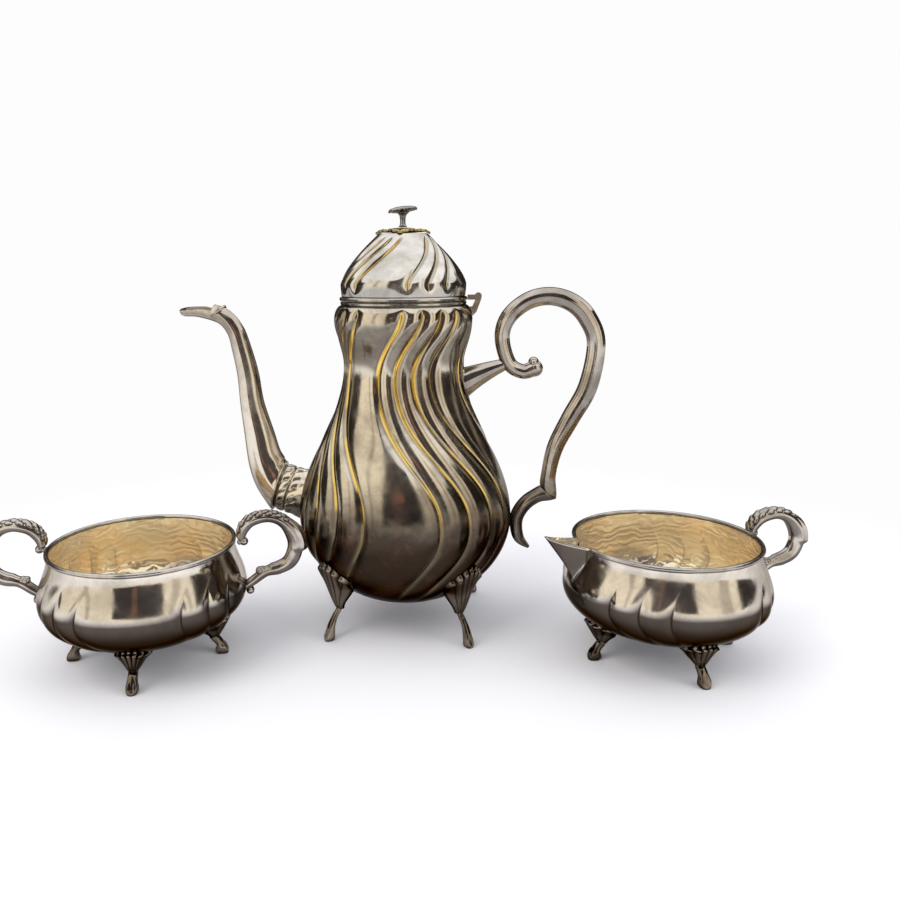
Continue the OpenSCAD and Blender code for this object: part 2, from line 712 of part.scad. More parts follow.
// Scallop that fans out from the ankle and leans on the vessel. wall_at is the
// radius of its outer face at a height.
module shell_fan(wall_at, ankle_z, top_z, half_w) {
    n = 6;
    spread = 68;
    rays = [for (j = [0 : n]) mix(-spread, spread, j / n)];
    function pt(a, s, rib, inset) =
        let (y = half_w * s * sin(a) / sin(spread),
             z = mix(ankle_z, top_z, 0.05 + 0.95 * s * cos(a)),
             r = wall_at(z) + (rib ? 0.9 * s : -0.2) - 3 * pow(y / half_w, 2) - inset)
        [sqrt(max(1, r * r - y * y)), y, z];
    rows = [for (s = [0.2, 0.72, 1])
        [for (j = [0 : n]) pt(rays[j], s * (j % 2 == 0 ? 1 : 0.93), j % 2 == 0, 0)]];
    back = [for (s = [1, 0.72, 0.2])
        [for (j = [0 : n]) pt(rays[j], s * (j % 2 == 0 ? 1 : 0.93), false, fan_t)]];
    strips = concat(rows, back);
    // Each ring of the skin is the plate's section along one ray
    skin([for (j = [n : -1 : 0]) [for (s = strips) s[j]]]);
}

// Cast foot in its own frame: the vessel's axis is at the origin and the foot
// points along +X
module foot(toe_r, pad_l, pad_w, leg_t, ankle_r, ankle_z, top_r, top_z, half_w) {
    union() {
        skin(tube_rings([
            [toe_r, 0, pad_l * 0.42, pad_w * 0.42], [toe_r, pad_h * 0.8, pad_l / 2, pad_w / 2],
            [ankle_r, ankle_z, leg_t, leg_t],
            [mix(ankle_r, top_r, 0.1), mix(ankle_z, top_z, 0.22), leg_t * 1.5, half_w * 0.3],
            [mix(ankle_r, top_r, 0.3), mix(ankle_z, top_z, 0.45), leg_t, half_w * 0.36]],
            6, dir0 = [0, 1]));
        shell_fan(function(z) mix(ankle_r + leg_t * 0.7, top_r,
            pow(max(0, (z - ankle_z) / (top_z - ankle_z)), 0.8)), ankle_z, top_z, half_w);
    }
}

module pot_foot(i) {
    color(cast) at_pot() difference() {
        rotate([0, 0, 45 + 90 * i])
            foot(pot_toe_r, 7.5, 5.8, pot_leg_t, pot_toe_r - 6.8, pot_ankle_z - 3,
                pot_radius(pot_shell_z) + 0.8, pot_shell_z, pot_shell_w);
        pot_form(seat_gap);
    }
}

// ---------------------------------------------------------------- bowls

module at_sugar() {
    translate([set_x + sugar_x, set_y + sugar_y, 0]) rotate([0, 0, sugar_yaw]) children();
}

module at_creamer() {
    translate([set_x + creamer_x, set_y + creamer_y, 0]) rotate([0, 0, creamer_yaw]) children();
}

module bowl_form(gap) {
    skin(fluted_rings(bowl_profile, function(z) bowl_turn(z),
        function(z) bowl_flute_at(z), bowl_pattern, -gap));
}

module bowl_shell() {
    outer = fluted_rings(bowl_profile, function(z) bowl_turn(z),
        function(z) bowl_flute_at(z), bowl_pattern);
    inner = fluted_rings(bowl_profile, function(z) bowl_turn(z),
        function(z) bowl_flute_at(z), bowl_pattern, sheet);
    n = len(outer);
    skin(concat(outer, flat_edge([inner[n - 1]], bowl_edge_z),
        every_other(reversed([for (i = [0 : n - 2]) inner[i]]))));
}

module bowl_rim() {
    rotate_extrude($fn = round_fn) difference() {
        translate([wire_in_r, rim_z]) circle(r = rim_wire_r, $fn = 24);
        translate([wire_in_r - 2, bowl_edge_z + seat_gap - 4]) square([4, 4]);
    }
}

// Point of a bowl handle from shares of its reach and height
function ear_at(p, reach, top) = [mix(rim_r, reach - 1.25 * ear_t, p[0]),
    mix(ear_low_z, top - 0.86 * ear_t, p[1])];

// Rows of [share of the reach, share of the height, half depth, half width],
// the last two as shares of the handle's half thickness
ear_rows = [
    [0.109, 0.697, 0.62, 0.75], [0.153, 0.835, 0.88, 0.9], [0.299, 0.952, 0.9, 1],
    [0.555, 0.997, 0.86, 1], [0.776, 0.935, 0.92, 1], [0.922, 0.795, 1.14, 1.05],
    [0.994, 0.589, 1.25, 1.05], [0.91, 0.366, 1.22, 1], [0.713, 0.251, 0.97, 0.95],
    [0.502, 0.208, 0.81, 0.85], [0.287, 0.083, 0.75, 0.8], [0.14, 0.005, 0.61, 0.75]];

module bowl_handle(reach, top) {
    difference() {
        skin(tube_rings([for (p = spline(ear_rows, 2))
            concat(ear_at(p, reach, top), [ear_t * p[2], ear_t * p[3]])], 8));
        bowl_form(seat_gap);
        translate([0, 0, bowl_edge_z - over]) cylinder(
            r = wire_in_r + rim_wire_r + seat_gap, h = top - bowl_edge_z + over, $fn = 48);
    }
}

module bowl_foot(i) {
    difference() {
        rotate([0, 0, 90 * i])
            foot(bowl_toe_r, 8.6, 7, bowl_leg_t, bowl_toe_r - 4, bowl_ankle_z,
                bowl_radius(bowl_shell_z) + 0.8, bowl_shell_z, bowl_shell_w);
        bowl_form(seat_gap);
    }
}

module sugar_body() {
    color(silver) at_sugar() bowl_shell();
}

module sugar_rim() {
    color(bright) at_sugar() bowl_rim();
}

module sugar_handle(side) {
    color(cast) at_sugar() rotate([0, 0, side]) bowl_handle(ear_reach, ear_top_z);
}

module sugar_foot(i) {
    color(cast) at_sugar() bowl_foot(i);
}

// Wedge of the creamer's lip: a V whose edge runs from the tip to the belly.
// inset gives the inside of the sheet.
module lip_form(inset, back) {
    skin([for (k = [0 : 4])
        let (t = k / 4, w = lip_w * pow(t, 0.8) + 0.4 - inset,
             z = mix(lip_foot_z, rim_z + rim_wire_r * 0.8, t),
             front = mix(bowl_radius(lip_foot_z) - 1, lip_reach, pow(t, 1.4)) - inset * 1.3,
             up = t * t * lip_rise, top = k == 4 && inset > 0 ? over : 0)
        [[back, -w, z + top],
         [mix(back, front, 0.6), -w * 0.55, z + up * 0.6 + top],
         [front, -0.5, z + up + top], [front, 0.5, z + up + top],
         [mix(back, front, 0.6), w * 0.55, z + up * 0.6 + top],
         [back, w, z + top]]]);
}

module at_lip() {
    rotate([0, 0, 180]) children();
}

module creamer_body() {
    color(gilt) at_creamer() difference() {
        bowl_shell();
        at_lip() lip_form(sheet, rim_r - 7);
    }
}

module creamer_rim() {
    lip_half = asin((lip_w + 3 * seat_gap) / wire_in_r);
    color(bright) at_creamer() difference() {
        bowl_rim();
        at_lip() translate([0, 0, rim_z - 3]) linear_extrude(6) polygon([[0, 0],
            [2 * rim_r, 2 * rim_r * tan(lip_half)], [2 * rim_r, -2 * rim_r * tan(lip_half)]]);
    }
}

module creamer_lip() {
    color(silver) at_creamer() difference() {
        at_lip() lip_form(0, wire_in_r - rim_wire_r);
        at_lip() lip_form(sheet, rim_r - 7);
        bowl_form(seat_gap);
    }
}

module creamer_handle() {
    color(cast) at_creamer() bowl_handle(creamer_ear_reach, creamer_ear_top_z);
}

module creamer_foot(i) {
    color(cast) at_creamer() bowl_foot(i);
}

pot_body();
mouth_wire();
spout();
spout_collar();
pot_handle();
handle_upper_socket();
handle_lower_socket();
hinge_bracket();
hinge_pin();
pot_foot(0);  // pot_foot_1
pot_foot(1);  // pot_foot_2
pot_foot(2);  // pot_foot_3
pot_foot(3);  // pot_foot_4
lid_dome();
lid_flange();
lid_bezel();
lid_hinge_lug();
lid_leaf();
finial();
finial_nut();
sugar_body();
sugar_rim();
sugar_handle(180);  // sugar_handle_left
sugar_handle(0);  // sugar_handle_right
sugar_foot(0);  // sugar_foot_1
sugar_foot(1);  // sugar_foot_2
sugar_foot(2);  // sugar_foot_3
sugar_foot(3);  // sugar_foot_4
creamer_body();
creamer_rim();
creamer_lip();
creamer_handle();
creamer_foot(0);  // creamer_foot_1
creamer_foot(1);  // creamer_foot_2
creamer_foot(2);  // creamer_foot_3
creamer_foot(3);  // creamer_foot_4
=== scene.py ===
import math
import random

import bmesh
import bpy
import numpy as np
from mathutils import Matrix, Vector


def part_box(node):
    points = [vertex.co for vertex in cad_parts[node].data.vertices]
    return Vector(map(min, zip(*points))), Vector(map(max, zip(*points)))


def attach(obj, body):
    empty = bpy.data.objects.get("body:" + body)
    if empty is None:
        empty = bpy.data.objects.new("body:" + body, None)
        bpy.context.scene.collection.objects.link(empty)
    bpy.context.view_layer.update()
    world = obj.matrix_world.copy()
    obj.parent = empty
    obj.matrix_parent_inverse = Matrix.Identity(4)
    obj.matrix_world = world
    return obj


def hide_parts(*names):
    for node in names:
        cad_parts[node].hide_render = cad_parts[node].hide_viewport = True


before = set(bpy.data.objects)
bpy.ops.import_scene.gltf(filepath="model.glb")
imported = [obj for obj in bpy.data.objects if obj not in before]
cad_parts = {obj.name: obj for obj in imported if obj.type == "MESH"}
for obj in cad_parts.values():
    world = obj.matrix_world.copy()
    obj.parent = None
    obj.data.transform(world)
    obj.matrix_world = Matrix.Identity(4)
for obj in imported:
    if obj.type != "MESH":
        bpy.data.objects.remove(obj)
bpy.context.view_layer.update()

MM = 0.001


# ---------- places

def middle(node):
    lo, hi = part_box(node)
    return [(lo[i] + hi[i]) / 2 / MM for i in range(3)]


def yaw_of(axis, node):
    m = middle(node)
    return math.degrees(math.atan2(m[1] - axis[1], m[0] - axis[0]))


POT = middle("mouth_wire")[:2]
SUGAR = middle("sugar_rim")[:2]
CREAMER = middle("creamer_body")[:2]
SUGAR_YAW = yaw_of(SUGAR, "sugar_handle_right")
CREAMER_YAW = yaw_of(CREAMER, "creamer_handle")

# ---------- camera

def linked(name, data):
    """A new object in the scene."""
    ob = bpy.data.objects.new(name, data)
    bpy.context.scene.collection.objects.link(ob)
    return ob


# Fitted to the rims, feet and finial. CAMERA_AT is in mm, from the pot's axis and the table
LENS, SENSOR, SHIFT = 32.24, 36, (0.0624, -0.079)
CAMERA_AT, HEADING = (52.4, -475.9, 211.5), (-0.122, 0.9925)
PITCH, ROLL = math.radians(7.56), -0.009

cam = bpy.data.cameras.new("camera")
cam.lens = LENS
cam.sensor_width = SENSOR
cam.shift_x, cam.shift_y = SHIFT
cam_ob = linked("camera", cam)
cam_ob.location = ((POT[0] + CAMERA_AT[0]) * MM, (POT[1] + CAMERA_AT[1]) * MM,
                   CAMERA_AT[2] * MM)
look = Vector((HEADING[0] * math.cos(PITCH), HEADING[1] * math.cos(PITCH), -math.sin(PITCH)))
cam_ob.rotation_euler = (look.to_track_quat("-Z", "Y").to_matrix().to_4x4()
                         @ Matrix.Rotation(ROLL, 4, "Z")).to_euler()
bpy.context.scene.camera = cam_ob
bpy.context.scene.view_settings.view_transform = "Standard"

# ---------- sizes, mm

# R is a distance from a vessel's axis, Z a height above the table, H the height of the
# part itself and T a thickness (of handles, half of it)
SHEET = 1.0
SEAT = 0.2                    # between the leaf and what it stands on or carries
BASE_Z, BELLY_R, BELLY_Z = 14.0, 63.98, 66.0
WAIST_R, WAIST_Z = 35.9, 157.0
NECK_R, NECK_Z = 41.1, 184.0
MOUTH_R, MOUTH_Z, WIRE_H = 36.4, 192.3, 2.2
LID_R, LID_ROLL = 37.3, 7.4
CROWN_R, CROWN_H = 14.6, 36.4
FLANGE_Z, FLANGE_H = MOUTH_Z + WIRE_H + 0.25, 2.3
DOME_Z = FLANGE_Z + FLANGE_H
CROWN_Z = DOME_Z + CROWN_H
LEAF_Z = CROWN_Z + SHEET + SEAT
LEAF_R, LEAF_T, LEAF_BOSS, LEAF_DROOP = 13.6, 1.4, 1.2, 1.4
FINIAL_Z = LEAF_Z + LEAF_T + LEAF_BOSS + SEAT
STEM_R, STEM_H, FLOWER_R, FLOWER_H = 1.4, 8.0, 8.8, 4.5
STUD_R = 1.8
RIM_R, RIM_Z, RIM_WIRE = 49.4, 65.3, 1.25
BOWL_R, BOWL_Z, BOWL_BASE = 55.35, 40.0, 14.5
BOWL_POWER = 2.2              # of the superellipse below the bowls' widest ring
EDGE_Z = RIM_Z - RIM_WIRE * 0.7
NO_CREASE = 9.0               # crease distance of points that have no crease near them


def ease(t):
    return (1 - np.cos(np.pi * np.clip(t, 0, 1))) / 2


def ramp(a, b, v):
    return ease((v - a) / (b - a))


def mix(a, b, t):
    return a + (b - a) * t


# ---------- meshes

def solid_object(name, verts, faces):
    """A mesh object whose faces look outwards. verts are in mm, in the row frame."""
    me = bpy.data.meshes.new(name)
    me.from_pydata([tuple(v * MM for v in p) for p in np.asarray(verts, float)], [], faces)
    bm = bmesh.new()
    bm.from_mesh(me)
    bmesh.ops.recalc_face_normals(bm, faces=bm.faces)
    bm.to_mesh(me)
    bm.free()
    return linked(name, me)


def new_object(name, verts, faces, body, mat, nodes, crease=None):
    """One mesh piece. crease holds each point's distance to a crease."""
    ob = solid_object(name, verts, faces)
    me = ob.data
    if crease is not None:
        layer = me.attributes.new("crease", "FLOAT", "POINT")
        layer.data.foreach_set("value", np.asarray(crease, np.float32).reshape(-1))
    me.polygons.foreach_set("use_smooth", [True] * len(me.polygons))
    me.update()
    me.materials.append(mat)
    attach(ob, body)
    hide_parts(*nodes)
    return ob


def paint_from(ob, first, mat):
    """Gives the faces that lie among the points from first on another material."""
    ob.data.materials.append(mat)
    for p in ob.data.polygons:
        if min(p.vertices) >= first:
            p.material_index = 1


def cut_away(ob, verts, faces):
    """Cuts a solid out of a piece for good."""
    cutter = solid_object("cutter", verts, faces)
    mod = ob.modifiers.new("cut", "BOOLEAN")
    mod.operation = "DIFFERENCE"
    mod.solver = "EXACT"
    mod.object = cutter
    graph = bpy.context.evaluated_depsgraph_get()
    me = bpy.data.meshes.new_from_object(ob.evaluated_get(graph))
    old = ob.data
    ob.modifiers.clear()
    ob.data = me
    bpy.data.meshes.remove(old)
    bpy.data.objects.remove(cutter)


def grid_faces(n, k, loop_rings=False, loop_round=True, start=0):
    """Quads between n rings of k points."""
    faces = []
    for i in range(n if loop_rings else n - 1):
        a, b = start + i * k, start + (i + 1) % n * k
        for j in range(k if loop_round else k - 1):
            j2 = (j + 1) % k
            faces.append((a + j, a + j2, b + j2, b + j))
    return faces


def cap(first, k, flip=False):
    points = range(first, first + k)
    return tuple(reversed(points)) if flip else tuple(points)


def two_skins(front, back):
    """Sheet between two grids of points, closed along its four edges."""
    n, k = front.shape[:2]
    far = n * k
    faces = grid_faces(n, k, loop_round=False)
    faces += [tuple(reversed(f)) for f in grid_faces(n, k, loop_round=False, start=far)]
    border = ([i * k for i in range(n - 1)] + [(n - 1) * k + j for j in range(k - 1)]
              + [i * k + k - 1 for i in range(n - 1, 0, -1)] + list(range(k - 1, 0, -1)))
    faces += [(a, a + far, b + far, b) for a, b in zip(border, border[1:] + border[:1])]
    return np.concatenate([front, back]).reshape(-1, 3), faces


def ball(steps, radius=1.0):
    """Points and faces of a ball at the origin."""
    bm = bmesh.new()
    bmesh.ops.create_icosphere(bm, subdivisions=steps, radius=radius)
    points = [tuple(v.co) for v in bm.verts]
    faces = [tuple(v.index for v in f.verts) for f in bm.faces]
    bm.free()
    return points, faces


def around(r, th, z):
    """Points at angles th, in radians, about the vertical axis."""
    return np.stack([r * np.cos(th), r * np.sin(th), z + 0 * th], -1)


def place(points, axis, yaw=0.0):
    """Turns and moves points from a vessel's own frame into the row frame."""
    p = np.asarray(points, float)
    c, s = math.cos(math.radians(yaw)), math.sin(math.radians(yaw))
    out = p.copy()
    out[..., 0] = p[..., 0] * c - p[..., 1] * s + axis[0]
    out[..., 1] = p[..., 0] * s + p[..., 1] * c + axis[1]
    return out


def resample(p, q):
    """Catmull-Rom through the rows of p, q steps between neighbours."""
    p = np.asarray(p, float)
    n = len(p)
    out = []
    for i in range(n - 1):
        a, b, c, d = p[max(i - 1, 0)], p[i], p[i + 1], p[min(i + 2, n - 1)]
        for k in range(q):
            t = k / q
            out.append((2 * b + (c - a) * t + (2 * a - 5 * b + 4 * c - d) * t * t
                        + (3 * b - a - 3 * c + d) * t ** 3) / 2)
    out.append(p[-1])
    return np.array(out)


def route(stations, q, xs, zs, t):
    """A fine path through stations given as shares of the ranges xs and zs and of a
    half thickness."""
    p = resample(stations, q)
    p[:, 0] = mix(*xs, p[:, 0])
    p[:, 1] = mix(*zs, p[:, 1])
    p[:, 2:] *= t
    return p


def unit(v):
    v = np.asarray(v, float)
    return v / np.linalg.norm(v)


def tube(path, k, shape=None, dir0=None, dir1=None, shrink=0.0, swing=1, swing1=1):
    """Rings round a path in the XZ plane; rows are [x, z, half depth, half width].
    shape(w, s, row) scales the section at angle w (radians) and station s (0 to 1).
    Over the first swing rows the rings turn from dir0 to the path's own direction,
    and over the last swing1 rows they turn to dir1."""
    n = len(path)
    w = 2 * np.pi * (np.arange(k) + 0.5) / k
    rings = []
    for i in range(n):
        a, b = path[max(i - 1, 0)], path[min(i + 1, n - 1)]
        t = unit([b[0] - a[0], b[1] - a[1]])
        if i < swing and dir0 is not None:
            t = unit(mix(unit(dir0), t, i / swing))
        if i > n - 1 - swing1 and dir1 is not None:
            t = unit(mix(unit(dir1), t, (n - 1 - i) / swing1))
        f = shape(w, i / (n - 1), path[i]) if shape else 1.0
        u = (path[i][2] - shrink) * np.cos(w) * f
        y = -(path[i][3] - shrink) * np.sin(w) * f
        rings.append(np.stack([path[i][0] - t[1] * u, y, path[i][1] + t[0] * u], -1))
    return np.array(rings)


def solid(rings):
    """Points and faces of a stack of rings with a cap at either end."""
    n, k = rings.shape[:2]
    faces = grid_faces(n, k) + [cap(0, k, True), cap((n - 1) * k, k)]
    return rings.reshape(-1, 3), faces


def eye_ball(x, z, r, half):
    """A round knob in the handle's plane that reaches half to either side."""
    points, faces = ball(4)
    return [(x + p[0] * r, p[1] * half, z + p[2] * r) for p in points], faces


def join(parts):
    """One mesh of several. Each is points, faces and, where it has them, distances
    to a crease."""
    verts, faces, crease = [], [], []
    for part in parts:
        n = len(verts)
        verts.extend(tuple(p) for p in part[0])
        faces.extend(tuple(i + n for i in f) for f in part[1])
        crease.extend(part[2] if len(part) > 2 else [NO_CREASE] * len(part[0]))
    return np.array(verts), faces, crease


def body_clip(verts, wall_of):
    """Moves points that lie inside a vessel's wall out to just inside its surface."""
    out = np.array(verts, float)
    for p in out:
        r = math.hypot(p[0], p[1])
        wall = wall_of(p[2]) - SHEET / 2
        if r < wall:
            p[:2] *= wall / max(r, 1e-6)
    return out

# ---------- flutes

GROUPS = 4                    # of flutes round every vessel


def arch(u, p):
    return 1 - np.abs(2 * u - 1) ** p


def flute_pattern(start, narrow, count, cuts, wide_cuts, wide_power=4):
    """Angles, heights (0 in a crease, 1 on a crest) and degrees to the nearest
    crease, for count narrow flutes and one wide panel in each group."""
    pitch = 360 / GROUPS
    flutes = [(narrow * m, narrow, cuts, 2.2) for m in range(count)]
    flutes.append((narrow * count, pitch - count * narrow, wide_cuts, wide_power))
    points = []
    for g in range(GROUPS):
        for first, width, steps, power in flutes:
            for s in range(steps):
                u = (1 - math.cos(math.pi * s / steps)) / 2
                u = mix(u, s / steps, 0.35)
                points.append((start + g * pitch + first + width * u, arch(u, power),
                               min(u, 1 - u) * width))
    return np.array(points).T


def fluted(profile, turn, depth, pattern, inset=0.0):
    """Rings of a fluted skin and, for each point, its distance to a crease in mm."""
    ang, high, near = pattern
    rings, crease = [], []
    full = max(depth(z) for r, z in profile)
    for i, (r, z) in enumerate(profile):
        a, b = profile[max(i - 1, 0)], profile[min(i + 1, len(profile) - 1)]
        t = unit([b[0] - a[0], b[1] - a[1]])
        q = r - inset * t[1] - depth(z) * (1 - high)
        rings.append(around(q, np.radians(ang + turn(z)), z + inset * t[0]))
        crease.append(np.radians(near) * r + 4 * (1 - depth(z) / full) ** 2)
    return np.array(rings), np.array(crease)


def pot_radius(z):
    if z < BELLY_Z:
        return BELLY_R * math.sqrt(max(0, 1 - ((BELLY_Z - z) / (BELLY_Z - BASE_Z)) ** 2))
    if z < WAIST_Z:
        return mix(BELLY_R, WAIST_R, ramp(BELLY_Z, WAIST_Z, z))
    if z < NECK_Z:
        return mix(WAIST_R, NECK_R, ramp(WAIST_Z, NECK_Z, z))
    return MOUTH_R + (NECK_R - MOUTH_R) * math.sqrt(
        max(0, 1 - ((z - NECK_Z) / (MOUTH_Z - NECK_Z)) ** 2))


def pot_turn(z):
    return (-26.5 * (1 - ramp(BASE_Z, BELLY_Z + 6, z))
            - 43.5 * ramp(BELLY_Z + 10, WAIST_Z - 5, z)
            + 24 * ramp(WAIST_Z - 5, NECK_Z + 6, z))


def pot_depth(z):
    return 2.2 * ramp(BASE_Z + 3, BASE_Z + 28, z) * (
        1 - ramp(NECK_Z + 3, MOUTH_Z, z))


def lid_radius(z):
    h = z - DOME_Z
    if h < LID_ROLL:
        return mix(MOUTH_R - 0.2, LID_R, math.sin(math.pi / 2 * h / LID_ROLL))
    return mix(LID_R, CROWN_R, min(1, (h - LID_ROLL) / (CROWN_H - LID_ROLL)) ** 1.38)


def lid_turn(z):
    return 52 * max(0, (z - DOME_Z - LID_ROLL) / (CROWN_H - LID_ROLL)) ** 1.3


def lid_depth(z):
    return 1.9 * ramp(DOME_Z + 1, DOME_Z + LID_ROLL, z) * (
        1 - ramp(CROWN_Z - 6, CROWN_Z, z))


def bowl_radius(z):
    if z < BOWL_Z:
        drop = (BOWL_Z - z) / (BOWL_Z - BOWL_BASE)
        return BOWL_R * max(0, 1 - drop ** BOWL_POWER) ** (1 / BOWL_POWER)
    return mix(BOWL_R, RIM_R, ramp(BOWL_Z, EDGE_Z, z))


def bowl_turn(z):
    return (z - BOWL_Z) ** 2 * (0.02 if z > BOWL_Z else 0.034)


def bowl_depth(z):
    return 1.4 * ramp(BOWL_BASE + 2, BOWL_BASE + 12, z) * (
        1 - ramp(EDGE_Z - 24, EDGE_Z - 5, z))


def shell_mesh(name, profile, turn, depth, pattern, axis, yaw, body, mat, nodes):
    """Closed sheet-metal vessel wall: outside, rim and inside, with its bottom.
    Returns the piece and the number of its first inside point."""
    outer, crease = fluted(profile, turn, depth, pattern)
    inner, _ = fluted(profile, turn, depth, pattern, SHEET)
    inner[-1, :, 2] = outer[-1, :, 2]
    verts, faces = solid(np.concatenate([outer, inner[::-1]]))
    ob = new_object(name, place(verts, axis, yaw), faces, body, mat, nodes,
                    np.concatenate([crease, crease[::-1]]))
    return ob, crease.size


# ---------- materials

class Graph:
    """Short names for building the node tree of a material or the world."""

    def __init__(self, owner):
        owner.use_nodes = True
        self.tree = owner.node_tree
        self.tree.nodes.clear()

    def put(self, socket, value):
        if not isinstance(value, (int, float, tuple)):
            self.tree.links.new(value, socket)
        elif socket.type == "RGBA":
            socket.default_value = value + (1,)
        else:
            socket.default_value = value

    def node(self, kind, inputs=None, **settings):
        n = self.tree.nodes.new(kind)
        for key, value in settings.items():
            setattr(n, key, value)
        for key, value in (inputs or {}).items():
            self.put(n.inputs[key], value)
        return n

    def noise(self, vec, scale, detail=4.0, rough=0.55, distort=0.0):
        return self.node("ShaderNodeTexNoise", {
            "Vector": vec, "Scale": scale, "Detail": detail, "Roughness": rough,
            "Distortion": distort}).outputs["Fac"]

    def remap(self, value, a, b, c=0.0, d=1.0):
        """Carries a smoothly to c and b to d."""
        return self.node("ShaderNodeMapRange", {
            "Value": value, "From Min": a, "From Max": b, "To Min": c, "To Max": d},
            interpolation_type="SMOOTHSTEP").outputs["Result"]

    def math(self, op, a, b, c=0.0):
        return self.node("ShaderNodeMath", {0: a, 1: b, 2: c}, operation=op).outputs[0]

    def mix(self, fac, a, b):
        return self.node("ShaderNodeMix", {0: fac, 6: a, 7: b}, data_type="RGBA").outputs[2]

    def cover(self, color, over, mask, amount):
        """color, with another laid on it by a share of the mask."""
        return self.mix(self.math("MULTIPLY", mask, amount), color, over)

    def height(self, vec):
        return self.node("ShaderNodeSeparateXYZ", {0: vec}).outputs[2]

    def bump(self, height, strength, distance, below=None):
        n = self.node("ShaderNodeBump", {"Height": height, "Strength": strength,
                                         "Distance": distance})
        if below is not None:
            self.put(n.inputs["Normal"], below)
        return n.outputs[0]

    def blend(self, fac, a, b):
        """Mixes two shaders."""
        return self.node("ShaderNodeMixShader", {0: fac, 1: a, 2: b}).outputs[0]

    def glow(self, color):
        return self.node("ShaderNodeEmission", {"Color": color}).outputs[0]

    def end(self, kind, shader):
        self.node("ShaderNodeOutput" + kind, {0: shader})


def dim(color, share):
    return tuple(share * c for c in color)


BROWN = (0.028, 0.017, 0.011)
# The warm brown in the painted dark reflection low on the silver
LOW_DARK_WARM = (0.10, 0.052, 0.031)
GOLD = (0.93, 0.66, 0.18)
AMBER = (0.7, 0.42, 0.16)
BARE = (0.46, 0.43, 0.40)
SILVER, GREY = (0.84, 0.775, 0.685), (0.60, 0.55, 0.48)


